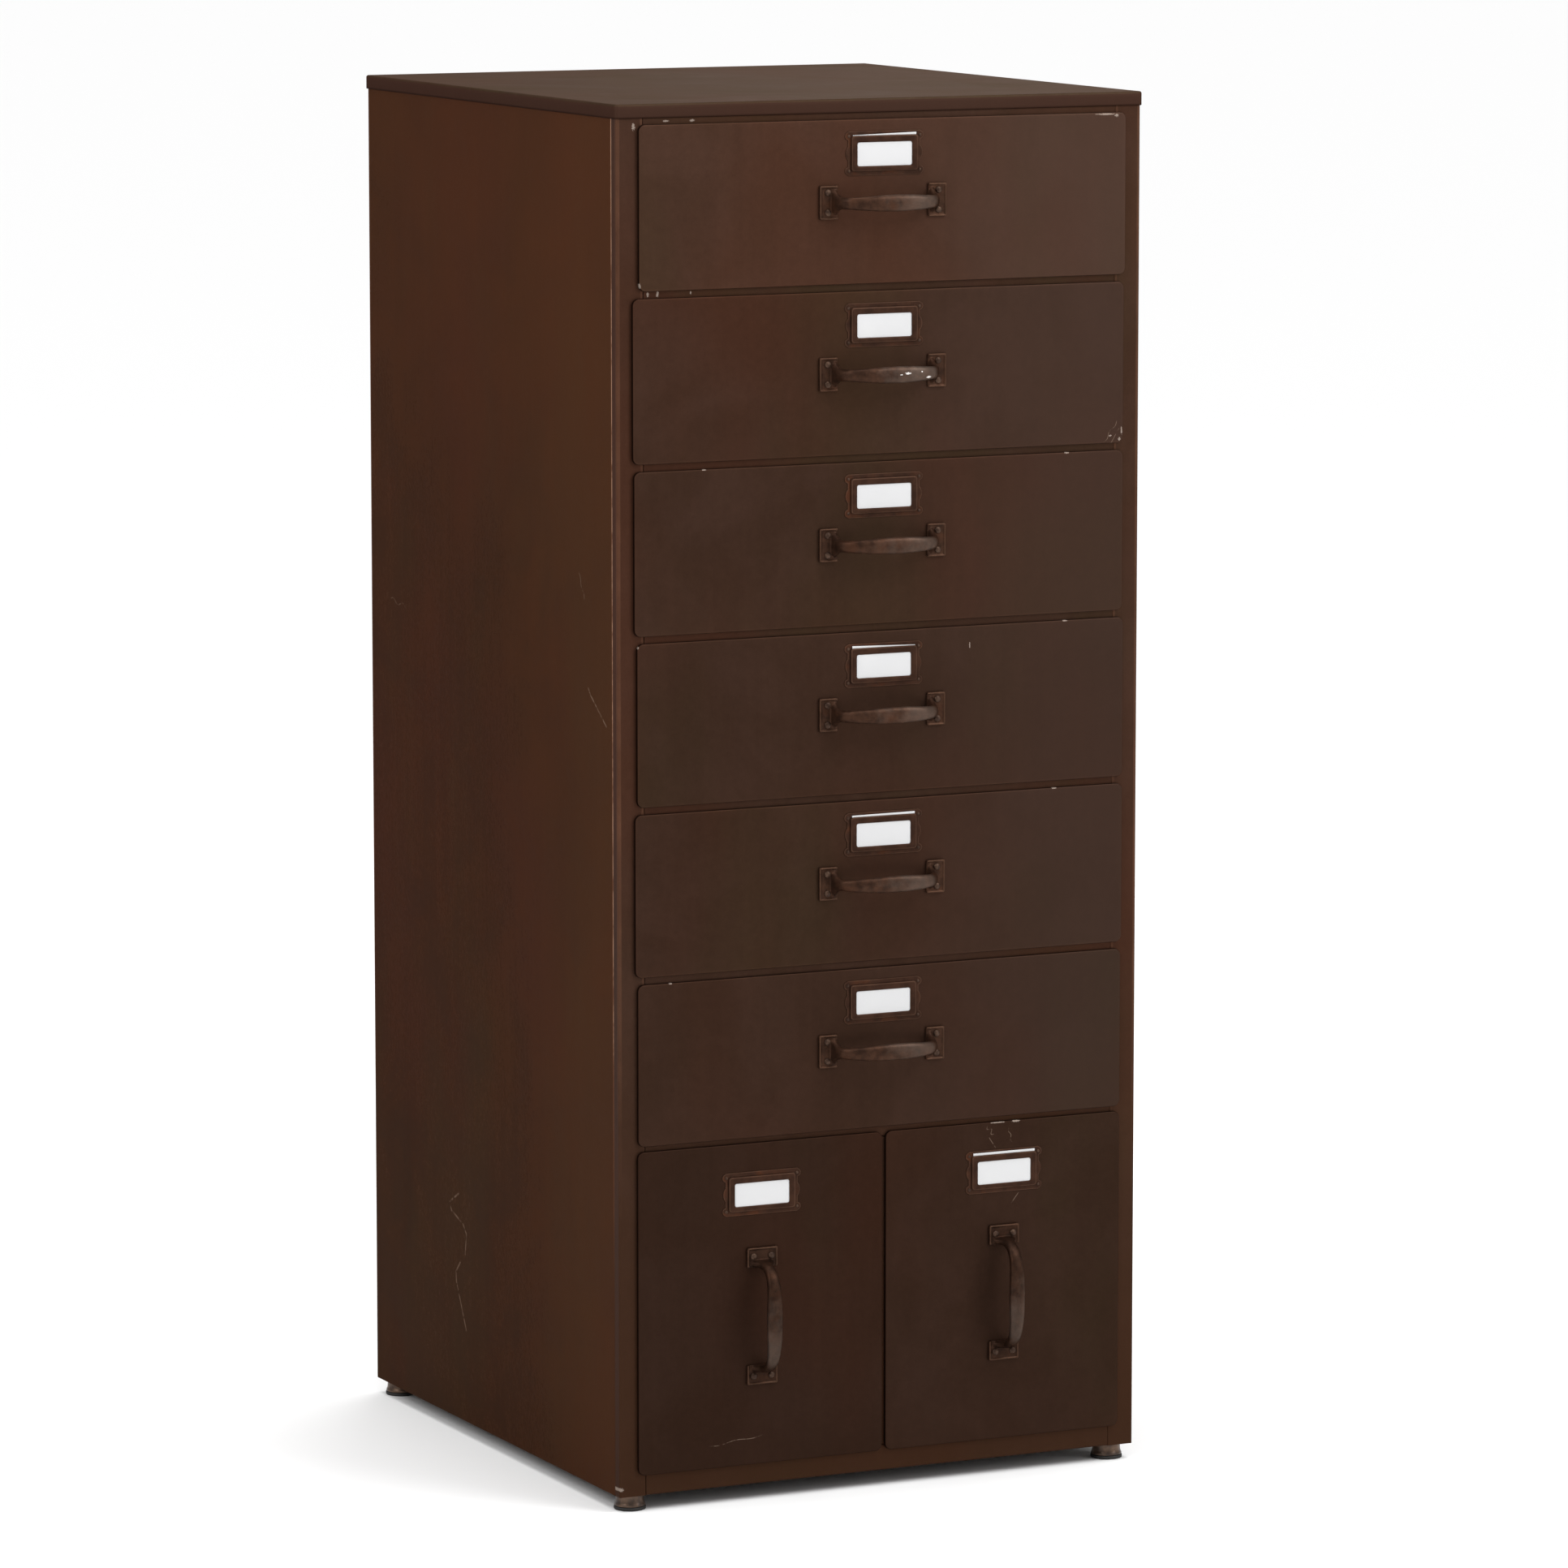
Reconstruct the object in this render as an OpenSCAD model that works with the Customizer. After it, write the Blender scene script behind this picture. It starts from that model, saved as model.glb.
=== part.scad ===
// Tall steel chest of drawers: six wide drawers above a pair of deep ones.
// The front faces -Y. The origin is on the floor, at the centre of the overall box.

/* [Carcass] */
// Width over the side panels
body_w = 500; // [480:1:540]
// Depth from the front face to the back
body_d = 545; // [540:1:600]
// Height from the bottom edge to the top of the lid
body_h = 1200; // [1160:1:1240]
// Thickness of the folded sheet
sheet = 1.2; // [1:0.1:1.3]
// Width of each front stile
stile_w = 25; // [24:0.5:28]
// Depth of the front stiles' outer folds and of the rails
frame_d = 10; // [9:0.5:11]

/* [Lid] */
// How far the lid stands past the carcass on every side
lid_over = 1.5; // [1.4:0.1:2]
// Height of the lid's lip
lid_lip = 12.2; // [9:0.1:15]
// Radius of the lid's upright corners
lid_r = 3; // [2.5:0.1:5]

/* [Drawer fronts] */
// Width of a wide front
wide_w = 468; // [462:0.5:472]
// Height of a wide front
wide_h = 141; // [136:0.5:143]
// Gap between one front and the next below it
front_gap = 6; // [5:0.5:8]
// Distance from the top of the lid to the uppermost front
top_margin = 17.5; // [16:0.5:22]
// Distance from the carcass's bottom edge to the deep fronts
bottom_margin = 18.3; // [16:0.1:24]
// Gap between the lowest wide front and the deep fronts
deep_gap = 4.5; // [4:0.1:8]
// Gap between the two deep fronts
pair_gap = 3.2; // [2.5:0.1:5]
// How far the front's face stands out of the carcass's face
front_proud = 3.5; // [3.2:0.1:5]
// Radius of the fronts' corners
front_r = 6; // [3:0.1:8]

/* [Trays] */
// Length of a tray from front to back
tray_l = 500; // [480:1:520]
// Thickness of the tray's sheet
tray_sheet = 1; // [0.8:0.1:1.2]
// Travel at which the tray's stop tabs meet the rail
travel = 380; // [300:1:420]

/* [Handles] */
// Length over both base plates
pull_l = 121; // [110:1:130]
// Length of one base plate, along the handle
plate_l = 17.5; // [16:0.5:20]
// Width of a base plate, across the handle
plate_w = 29; // [26:0.5:34]
// Thickness of a base plate
plate_t = 3; // [2.5:0.1:4]
// How far the grip stands out of the drawer front
grip_out = 31; // [26:0.5:36]
// Distance between the two screws of one base plate
screw_pitch = 17; // [15:0.5:19]

/* [Label holders] */
// Width of the label window
window_w = 52; // [50:0.5:60]
// Height of the label window
window_h = 20.4; // [18:0.2:28]
// Width of the raised border beside the window
border_w = 5.8; // [4:0.1:7]
// Height of the raised border below the window
border_h = 4.4; // [4:0.1:6]
// Height of the raised border above the window
border_top = 5.8; // [4:0.1:7]
// Width of the flange past the raised border
flange = 4.6; // [4:0.1:5.5]
// Thickness of the holder's sheet
holder_sheet = 0.8; // [0.6:0.1:1]
// Thickness of the card
card_t = 0.5; // [0.3:0.1:0.6]

/* [Feet] */
// Height of the feet
foot_h = 14; // [12:0.5:20]
// Diameter of a foot at the floor
foot_dia = 28; // [24:0.5:30]
// Distance from a foot's axis to the carcass's faces
foot_inset = 17; // [16:0.5:20]

/* [Hidden] */
$fn = 64;
seam = 0.02;            // clearance that keeps spot-welded sheets separate solids
n_wide = 6;
n_drawers = n_wide + 2;
drawer_ids = [0 : n_drawers - 1];

// Main faces
front_y = -(body_d + lid_over - front_proud - grip_out) / 2;
back_y = front_y + body_d;
base_z = foot_h;
top_z = base_z + body_h;
deck_z = top_z - sheet;            // underside of the lid's top
side_x = body_w / 2;
inner_x = side_x - sheet;          // inner face of a side panel
open_x = side_x - stile_w;         // inner edge of a stile
skin_y = front_y - front_proud;    // outer face of the drawer fronts
pan_gap = 0.3;                     // between a closed drawer's pan and the carcass
pan_d = front_proud - pan_gap;
lap = 5;                           // how far a front covers the rails above and below it

// Centre mullion and partition, a little right of the middle
mullion_x = 2;
mullion_w = 16;
mullion_l = mullion_x - mullion_w / 2;
mullion_r = mullion_x + mullion_w / 2;

// Fronts: the deep pair fills what the wide ones leave
pitch = wide_h + front_gap;
deep_h = body_h - top_margin - n_wide * pitch + front_gap - deep_gap - bottom_margin;
deep_edge = wide_w / 2 - 0.5;
// How far each hand-cut front's left and right edges lie from their nominal places
left_trim = [3.6, -2.4, -1.4, 1, -1.2, 1, 0, 0];
right_trim = [0.4, -0.8, -0.8, 0.4, 0.4, -0.4, 0, 0];
function is_wide(i) = i < n_wide;
function front_h(i) = is_wide(i) ? wide_h : deep_h;
function front_top(i) = top_z - top_margin - (is_wide(i) ? i * pitch
    : n_wide * pitch - front_gap + deep_gap);
function front_bottom(i) = front_top(i) - front_h(i);
function front_left(i) = (is_wide(i) ? -wide_w / 2
    : i == n_wide ? -deep_edge : mullion_x + pair_gap / 2) + left_trim[i];
function front_right(i) = (is_wide(i) ? wide_w / 2
    : i == n_wide ? mullion_x - pair_gap / 2 : deep_edge) + right_trim[i];

// Trays and the shelves that carry them
tray_play = 1.5;                   // side clearance between a tray and its opening
tray_rise = 9;                     // tray's bottom above, and top below, the front's edges
tray_y0 = skin_y + sheet;
tray_y1 = tray_y0 + tray_l;
function tray_left(i) = (i == n_drawers - 1 ? mullion_r : -open_x) + tray_play;
function tray_right(i) = (i == n_wide ? mullion_l : open_x) - tray_play;
function tray_z0(i) = front_bottom(i) + tray_rise;
function tray_z1(i) = front_top(i) - tray_rise;
tab_h = 7;
tab_l = 20;
tab_y = front_y + frame_d + travel + 0.5;
runner_t = 1.5;
runner_lip = 14;
runner_y0 = front_y + 26;
runner_y1 = back_y - 5.5;
shelf_in = 16;                     // how far a shelf reaches under its tray

// Handles
screw_r = 2;
screw_x = pull_l / 2 - 7.7;
plate_x = pull_l / 2 - plate_l / 2;
head_r = 2.9;
head_h = 1.7;
nut_af = 7;
nut_h = 3.2;
handle_shift = -1.5;
function handle_x(i) = is_wide(i) ? handle_shift : (front_left(i) + front_right(i)) / 2;
upright_drop = 10.5;                // upright handles sit this far below their front's middle
function handle_z(i) = (front_top(i) + front_bottom(i)) / 2 - (is_wide(i) ? 0 : upright_drop);

// Grip: a superelliptic bow with superelliptic sections
grip_rings = 26;
grip_sides = 16;
grip_t = 3.8;                      // half thickness at the middle
leg_t = 3;                         // half thickness at the base plates
bow_x = pull_l / 2 - plate_l + leg_t + 0.2;
bow_y = grip_out - grip_t;
bow_start = 0.8;                   // degrees
neck_w = 5.1;                      // half width where the grip is narrowest
mid_w = 7.3;                       // half width at the middle
root_w = plate_w / 2 - 1;          // half width where it meets the plates
flare_y = 15;                      // standoff at which the flare to the plates begins
function signed_pow(v, e) = sign(v) * pow(abs(v), e);
function bow(a) = [bow_x * signed_pow(cos(a), 0.5), bow_y * pow(sin(a), 0.8)];
function half_w(p) = let (mid = pow(max(0, cos(90 * p.x / bow_x)), 1.5), low = max(0, 1 - p.y / flare_y))
    neck_w + (mid_w - neck_w) * mid + (root_w - neck_w) * pow(low, 2);
function half_t(p) = leg_t + (grip_t - leg_t) * min(1, p.y / flare_y);
function grip_ring(k) = let (
    a = bow_start + (180 - 2 * bow_start) * k / grip_rings,
    p = bow(a),
    d = bow(a + 0.2) - bow(a - 0.2),
    n = [d.y, -d.x] / norm(d))
    [for (j = [0 : grip_sides - 1]) let (
        t = 360 * j / grip_sides,
        u = half_t(p) * signed_pow(cos(t), 0.8),
        w = half_w(p) * signed_pow(sin(t), 0.8))
        [p.x + n.x * u, -(p.y + n.y * u), w]];

// Label holders
holder_w = window_w + 2 * border_w;
holder_h = window_h + border_h + border_top;
window_drop = (border_top - border_h) / 2;      // from the holder's middle down to the window's
flange_w = holder_w + 2 * flange - 2;
flange_h = holder_h + 2 * flange - 1.8;
pin_r = 0.8;
pin_x = holder_w / 2 + 2;
pin_z = holder_h / 2 - 0.5;
ear_r = 3.6;
lobe_r = 9;
slot_d = 0.8;
slot_w = holder_w - 2.6;
wall_w = (holder_w - slot_w) / 2;
holder_y1 = skin_y - holder_sheet;               // front of the flange
holder_y2 = holder_y1 - slot_d;                  // front of the slot
card_gap = 0.1;
card_w = slot_w - 0.8;
// How far each card stands above the top of its holder
card_rise = [2, 0, 0, 2, 1.9, 0, 0, 2];
function label_z(i) = front_top(i) - (is_wide(i) ? 30 : 44.5) + window_drop;
function label_x(i) = is_wide(i) ? 0 : handle_x(i);

// Back panel, its screws and the wall fixing
back_sheet = 1;
back_flange = 15;
panel_y = back_y - sheet - back_sheet;
back_screw_r = 1.6;
back_screw_x = side_x - 8;
back_screw_z = [for (k = [0 : 3]) base_z + 60 + k * (body_h - 120) / 3];
wall_hole_x = 150;
wall_hole_z = top_z - 44;
wall_hole_r = 2.5;

// Feet
pad_h = 3;
stud_r = 4;
stud_top = base_z + sheet + 12;
foot_x = side_x - foot_inset;
foot_ys = [front_y + foot_inset, back_y - foot_inset];
foot_nut_af = 13;
foot_nut_h = 6.5;
bottom_fold = 8;

drawer_nodes = ["front", "tray", "handle", "label_holder", "card", "fasteners"];
function drawer_node(i, kind) = str("drawer_", i + 1, "_", kind);

// ---- Shared shapes ----

module rounded_rect(w, h, r) {
    square([w, h - 2 * r], center = true);
    square([w - 2 * r, h], center = true);
    for (x = [-1, 1], y = [-1, 1])
        translate([x * (w / 2 - r), y * (h / 2 - r)]) circle(r);
}

// Stands a flat outline upright, from y0 to y1
module upright(y0, y1)
    translate([0, y1, 0]) rotate([90, 0, 0]) linear_extrude(y1 - y0) children();

module block(x, y, z)
    translate([x[0], y[0], z[0]]) cube([x[1] - x[0], y[1] - y[0], z[1] - z[0]]);

// A round bar along Y
module peg(r, y0, y1)
    translate([0, y1, 0]) rotate([90, 0, 0]) cylinder(r = r, h = y1 - y0);

// A hexagonal nut along Y, with its bore
module nut(af, y0, y1, bore)
    difference() {
        upright(y0, y1) circle(r = af / sqrt(3), $fn = 6);
        peg(bore, y0 - 1, y1 + 1);
    }

// A domed head that rises from y0 towards -Y
module dome(r, h, y0) {
    ball_r = (r * r + h * h) / (2 * h);
    intersection() {
        translate([0, y0 - h + ball_r, 0]) sphere(ball_r);
        block([-r, r], [y0 - h - 1, y0], [-r, r]);
    }
}

module on_both_sides() {
    children();
    mirror([1, 0, 0]) children();
}

// ---- Carcass ----

module top_lid()
    color("#4a3a31") difference() {
        translate([0, (front_y + back_y) / 2, top_z - lid_lip]) linear_extrude(lid_lip)
            rounded_rect(body_w + 2 * lid_over, body_d + 2 * lid_over, lid_r);
        translate([0, (front_y + back_y) / 2, top_z - lid_lip - 1]) linear_extrude(lid_lip + 1 - sheet)
            rounded_rect(body_w + 2 * (lid_over - sheet), body_d + 2 * (lid_over - sheet), lid_r - sheet);
    }

module side_panel()
    color("#43281c") difference() {
        union() {
            block([inner_x, side_x], [front_y + frame_d, back_y], [base_z, deck_z]);
            block([side_x - back_flange, side_x], [back_y - sheet, back_y], [base_z, deck_z]);
        }
        for (z = back_screw_z) translate([back_screw_x, 0, z])
            peg(back_screw_r + 0.1, back_y - 2 * sheet, back_y + 1);
    }

module right_side_panel() side_panel();

module left_side_panel() mirror([1, 0, 0]) side_panel();

module back_panel()
    color("#3d271d") difference() {
        block([-inner_x, inner_x], [panel_y, panel_y + back_sheet], [base_z, deck_z]);
        for (x = [-1, 1]) {
            for (z = back_screw_z) translate([x * back_screw_x, 0, z])
                peg(back_screw_r + 0.1, panel_y - 1, back_y);
            translate([x * wall_hole_x, 0, wall_hole_z]) peg(wall_hole_r, panel_y - 1, back_y);
        }
    }

// Folded C section with a lap behind the side panel's front edge
module front_stiles() {
    color("#3f2a20") on_both_sides() translate([0, 0, base_z]) linear_extrude(deck_z - base_z) {
        translate([open_x, front_y]) square([stile_w, sheet]);
        translate([open_x, front_y]) square([sheet, 2 * frame_d]);
        translate([inner_x, front_y]) square([sheet, frame_d]);
        translate([inner_x - sheet, front_y + frame_d - sheet]) square([2 * sheet, sheet]);
        translate([inner_x - sheet, front_y + frame_d - sheet]) square([sheet, 16]);
    }
}

// Channel between x0 and x1, open at the back
module channel(x, z)
    difference() {
        block(x, [front_y, front_y + frame_d], z);
        block([x[0] - 1, x[1] + 1], [front_y + sheet, front_y + frame_d + 1], [z[0] + sheet, z[1] - sheet]);
    }

module front_rails()
    color("#3f2a20") {
        rail_x = [-open_x, open_x];
        channel(rail_x, [front_top(0) - lap, deck_z]);
        for (i = [1 : n_wide - 1]) channel(rail_x, [front_top(i) - lap, front_bottom(i - 1) + lap]);
        channel(rail_x, [front_top(n_wide) - lap, front_bottom(n_wide - 1) + lap]);
        channel(rail_x, [base_z, front_bottom(n_wide) + lap]);
        mullion_z = [front_bottom(n_wide) + lap + seam, front_top(n_wide) - lap - seam];
        difference() {
            block([mullion_l, mullion_r], [front_y, front_y + frame_d], mullion_z);
            block([mullion_l + sheet, mullion_r - sheet], [front_y + sheet, front_y + frame_d + 1],
                [base_z, top_z]);
        }
    }

module centre_partition()
    color("#38231a") {
        x = [mullion_x - sheet / 2, mullion_x + sheet / 2];
        block(x, [front_y + frame_d, panel_y], [base_z + sheet, front_bottom(n_wide - 1) + lap]);
        block(x, [front_y + sheet, front_y + frame_d + 1],
            [front_bottom(n_wide) + lap + 1, front_top(n_wide) - lap - 1]);
    }

module bottom_panel()
    color("#38231a") difference() {
        union() {
            block([-inner_x, inner_x], [front_y + frame_d, panel_y], [base_z, base_z + sheet]);
            on_both_sides() block([inner_x - sheet, inner_x], [front_y + 30, panel_y],
                [base_z, base_z + bottom_fold]);
        }
        on_both_sides() {
            block([open_x - 0.2, open_x + sheet + 0.2], [front_y, front_y + 2 * frame_d + 0.2], [0, top_z]);
            block([inner_x - sheet - 0.2, side_x], [front_y, front_y + frame_d + 15.2], [0, top_z]);
            for (y = foot_ys) translate([foot_x, y, 0]) cylinder(r = stud_r + 0.2, h = top_z);
        }
    }

// Angle shelf: wall is the face it is welded to, tip the shelf's inner edge
module runner(wall, tip, z) {
    edge = wall < tip ? runner_t : -runner_t;
    block([min(wall, tip), max(wall, tip)], [runner_y0, runner_y1], [z - runner_t, z]);
    block([min(wall, wall + edge), max(wall, wall + edge)], [runner_y0, runner_y1], [z - runner_lip, z]);
}

module drawer_runners()
    color("#5b5148") for (i = drawer_ids) {
        left_wall = i == n_drawers - 1 ? mullion_x + sheet / 2 : -inner_x;
        right_wall = i == n_wide ? mullion_x - sheet / 2 : inner_x;
        runner(left_wall, tray_left(i) + shelf_in, tray_z0(i) - 0.1);
        runner(right_wall, tray_right(i) - shelf_in, tray_z0(i) - 0.1);
    }

module at_feet()
    for (x = [-1, 1], y = foot_ys) translate([x * foot_x, y, 0]) children();

module feet()
    color("#4b3527") at_feet() {
        translate([0, 0, pad_h]) cylinder(r1 = foot_dia / 2, r2 = foot_dia / 2 - 1.6, h = foot_h - pad_h);
        translate([0, 0, foot_h - 1]) cylinder(r = stud_r, h = stud_top - foot_h + 1);
    }

module foot_pads()
    color("#16120f") at_feet() cylinder(r = foot_dia / 2, h = pad_h);

module carcass_fasteners()
    color("#6a5d52") {
        at_feet() translate([0, 0, base_z + sheet]) difference() {
            rotate(30) cylinder(r = foot_nut_af / sqrt(3), h = foot_nut_h, $fn = 6);
            translate([0, 0, -1]) cylinder(r = stud_r + 0.05, h = foot_nut_h + 2);
        }
        for (x = [-1, 1], z = back_screw_z) translate([x * back_screw_x, 0, z]) {
            peg(3.2, back_y, back_y + 1.4);
            peg(back_screw_r, panel_y - 2.5, back_y + 1);
        }
    }

// ---- Drawers ----

module at_handle(i)
    translate([handle_x(i), skin_y, handle_z(i)]) rotate([0, is_wide(i) ? 0 : 90, 0]) children();

module at_screws()
    for (x = [-1, 1], z = [-1, 1]) translate([x * screw_x, 0, z * screw_pitch / 2]) children();

module at_pins(i)
    for (x = [-1, 1], z = [-1, 1])
        translate([label_x(i) + x * pin_x, 0, label_z(i) + z * pin_z]) children();

module front_outline(i, inset)
    translate([(front_left(i) + front_right(i)) / 2, (front_top(i) + front_bottom(i)) / 2])
        rounded_rect(front_right(i) - front_left(i) - 2 * inset, front_h(i) - 2 * inset, front_r - inset);

// Folded pan, hollow at the back
module drawer_front(i)
    color("#3e2b23") difference() {
        upright(skin_y, skin_y + pan_d) front_outline(i, 0);
        upright(skin_y + sheet, skin_y + pan_d + 1) front_outline(i, sheet);
        at_handle(i) at_screws() peg(screw_r + 0.1, -1, 2 * sheet);
        at_pins(i) peg(pin_r + 0.05, skin_y - 1, skin_y + 2 * sheet);
    }

// Spot-welded tray of flat sheets, with two stop tabs on its top edges
module drawer_tray(i)
    color("#4a3429") {
        x = [tray_left(i), tray_right(i)];
        z = [tray_z0(i), tray_z1(i)];
        side_y = [tray_y0 + tray_sheet + seam, tray_y1 - tray_sheet - seam];
        wall_z = [z[0] + tray_sheet + seam, z[1]];
        block(x, [tray_y0, tray_y1], [z[0], z[0] + tray_sheet]);
        block(x, [tray_y1 - tray_sheet, tray_y1], wall_z);
        difference() {
            block(x, [tray_y0, tray_y0 + tray_sheet], wall_z);
            at_handle(i) at_screws() peg(screw_r + 0.1, 0, 4);
        }
        for (left = [x[0], x[1] - tray_sheet]) {
            block([left, left + tray_sheet], side_y, wall_z);
            block([left, left + tray_sheet], [tab_y, tab_y + tab_l], [z[1] + seam, z[1] + tab_h]);
        }
    }

module grip()
    polyhedron(
        points = [for (k = [0 : grip_rings]) each grip_ring(k)],
        faces = concat(
            [[for (j = [0 : grip_sides - 1]) j]],
            [[for (j = [0 : grip_sides - 1]) grip_rings * grip_sides + grip_sides - 1 - j]],
            [for (k = [0 : grip_rings - 1], j = [0 : grip_sides - 1]) let (
                a = k * grip_sides + j,
                b = k * grip_sides + (j + 1) % grip_sides)
                each [[a, a + grip_sides, b], [b, a + grip_sides, b + grip_sides]]]));

// Cast bow pull on two rimmed base plates
module drawer_handle(i)
    color("#5a4334") at_handle(i) {
        for (side = [-1, 1]) difference() {
            translate([side * plate_x, 0, 0]) difference() {
                upright(-plate_t, 0) rounded_rect(plate_l, plate_w, 1.8);
                upright(-plate_t - 1, 0.8 - plate_t) rounded_rect(plate_l - 3, plate_w - 3, 1);
            }
            at_screws() peg(screw_r + 0.1, -plate_t - 1, 1);
        }
        grip();
    }

// Open-topped frame on an eared flange
module label_holder(i)
    color("#54392a") translate([label_x(i), 0, label_z(i)]) {
        difference() {
            upright(holder_y1, skin_y) {
                rounded_rect(flange_w - 6, flange_h, 1.5);
                for (x = [-1, 1]) {
                    translate([x * (holder_w / 2 - 4.2), 0]) circle(lobe_r);
                    for (z = [-1, 1]) translate([x * pin_x, z * pin_z]) circle(ear_r);
                }
            }
            translate([-label_x(i), 0, -label_z(i)]) at_pins(i) peg(pin_r + 0.05, holder_y2, skin_y + 1);
        }
        difference() {
            upright(holder_y2 - holder_sheet, holder_y1) rounded_rect(holder_w, holder_h, 2.4);
            translate([0, 0, -window_drop])
                upright(holder_y2 - 2, holder_y1 + 1) rounded_rect(window_w, window_h, 1.8);
            block([-slot_w / 2, slot_w / 2], [holder_y2, holder_y1], [wall_w - holder_h / 2, holder_h]);
        }
    }

module drawer_card(i)
    color("white") translate([label_x(i), 0, label_z(i)])
        block([-card_w / 2, card_w / 2], [holder_y1 - card_gap - card_t, holder_y1 - card_gap],
            [wall_w - holder_h / 2 + card_gap, holder_h / 2 + card_rise[i]]);

module drawer_fasteners(i)
    color("#6a5446") {
        at_handle(i) at_screws() {
            dome(head_r, head_h, 0.8 - plate_t);
            peg(screw_r, 0.3 - plate_t, sheet + tray_sheet + nut_h + 1);
            nut(nut_af, sheet + tray_sheet, sheet + tray_sheet + nut_h, screw_r + 0.05);
        }
        at_pins(i) {
            dome(1.3, 0.7, holder_y1);
            peg(pin_r, holder_y1 - 0.2, skin_y + sheet);
        }
    }

top_lid();
left_side_panel();
right_side_panel();
back_panel();
bottom_panel();
front_stiles();
front_rails();
centre_partition();
drawer_runners();
feet();
foot_pads();
carcass_fasteners();
for (i = drawer_ids) {
    drawer_front(i);
    drawer_tray(i);
    drawer_handle(i);
    label_holder(i);
    drawer_card(i);
    drawer_fasteners(i);
}
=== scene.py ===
"""Looks of the tall steel chest of drawers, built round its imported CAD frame. Lengths are in metres."""
import math

import bmesh
import bpy
from mathutils import Matrix, Vector, noise


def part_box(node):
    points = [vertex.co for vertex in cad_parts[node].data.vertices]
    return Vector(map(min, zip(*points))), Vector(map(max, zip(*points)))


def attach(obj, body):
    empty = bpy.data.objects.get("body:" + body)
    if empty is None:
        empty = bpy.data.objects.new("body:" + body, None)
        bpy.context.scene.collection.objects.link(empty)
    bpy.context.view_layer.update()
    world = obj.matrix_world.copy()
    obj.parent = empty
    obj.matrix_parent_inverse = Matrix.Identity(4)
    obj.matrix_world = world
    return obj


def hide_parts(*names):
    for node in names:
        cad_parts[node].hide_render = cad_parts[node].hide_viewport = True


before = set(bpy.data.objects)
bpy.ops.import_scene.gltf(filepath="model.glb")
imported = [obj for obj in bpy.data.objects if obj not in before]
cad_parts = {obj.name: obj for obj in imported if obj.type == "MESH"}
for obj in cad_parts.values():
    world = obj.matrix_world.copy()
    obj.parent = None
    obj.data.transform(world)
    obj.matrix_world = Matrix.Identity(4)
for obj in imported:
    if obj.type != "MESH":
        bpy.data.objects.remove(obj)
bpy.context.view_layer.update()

MM = 0.001

# Sizes that the frame's boxes don't give
SHEET = 1.2 * MM
LAP = 5 * MM              # how far a front covers the rails above and below it
RAIL_DEPTH = 10 * MM
STILE_W = 25 * MM
TRAY_SHEET = 1.0 * MM
TAB_H = 7 * MM            # stop tabs above a tray's edge
TAB_L = 20 * MM
FRONT_R = 6 * MM
LID_R = 3 * MM
TRAVEL = 380 * MM
EDGE_ROUND = 0.4 * MM     # on the sheets carried over from the CAD
PLATE_L, PLATE_W, PLATE_T = 17.5 * MM, 29 * MM, 3 * MM
PLATE_SEAT = PLATE_T - 0.9 * MM   # inside the plates' rims, where the screws sit
SCREW_INSET = 7.7 * MM    # from a handle's end to its screws
SCREW_PITCH = 17 * MM
WINDOW = (52 * MM, 20.4 * MM)
BORDER = (5.8 * MM, 5.1 * MM)   # its height is the mean of its top and bottom
WINDOW_DROP = 0.7 * MM    # from a label holder's middle down to its window's
HOLDER_T = 0.8 * MM
# Millimetres cut off the top of each drawer's card, at its left and right ends.
CARD_CUTS = ((1.6, 0), (0.5, 0.5), (0.5, 0.5), (0, 1.6), (0.5, 0), (0.5, 0.5), (0.5, 0.5), (0, 0))
WIDE_DRAWERS = range(1, 7)
DRAWERS = range(1, 9)

FRONT_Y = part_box("front_stiles")[0].y
BASE_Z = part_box("front_stiles")[0].z
TOP_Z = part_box("top_lid")[1].z
SIDE_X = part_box("right_side_panel")[1].x


# ---------------------------------------------------------------- camera, stage and light

def make_camera():
    data = bpy.data.cameras.new("camera")
    data.lens = 181.9
    data.sensor_width = 36
    camera = bpy.data.objects.new("camera", data)
    bpy.context.collection.objects.link(camera)
    camera.location = (-3.002, -6.349, 1.577)
    heading, pitch = math.radians(25.52), math.radians(8.01)
    camera.rotation_euler = (math.pi / 2 - pitch, 0, -heading)
    data.clip_end = 100
    bpy.context.scene.camera = camera


def area_light(name, place, aim, side, power):
    data = bpy.data.lights.new(name, "AREA")
    data.size = side
    data.energy = power
    light = bpy.data.objects.new(name, data)
    bpy.context.collection.objects.link(light)
    light.location = place
    light.rotation_euler = (Vector(aim) - Vector(place)).to_track_quat("-Z", "Y").to_euler()


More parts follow.
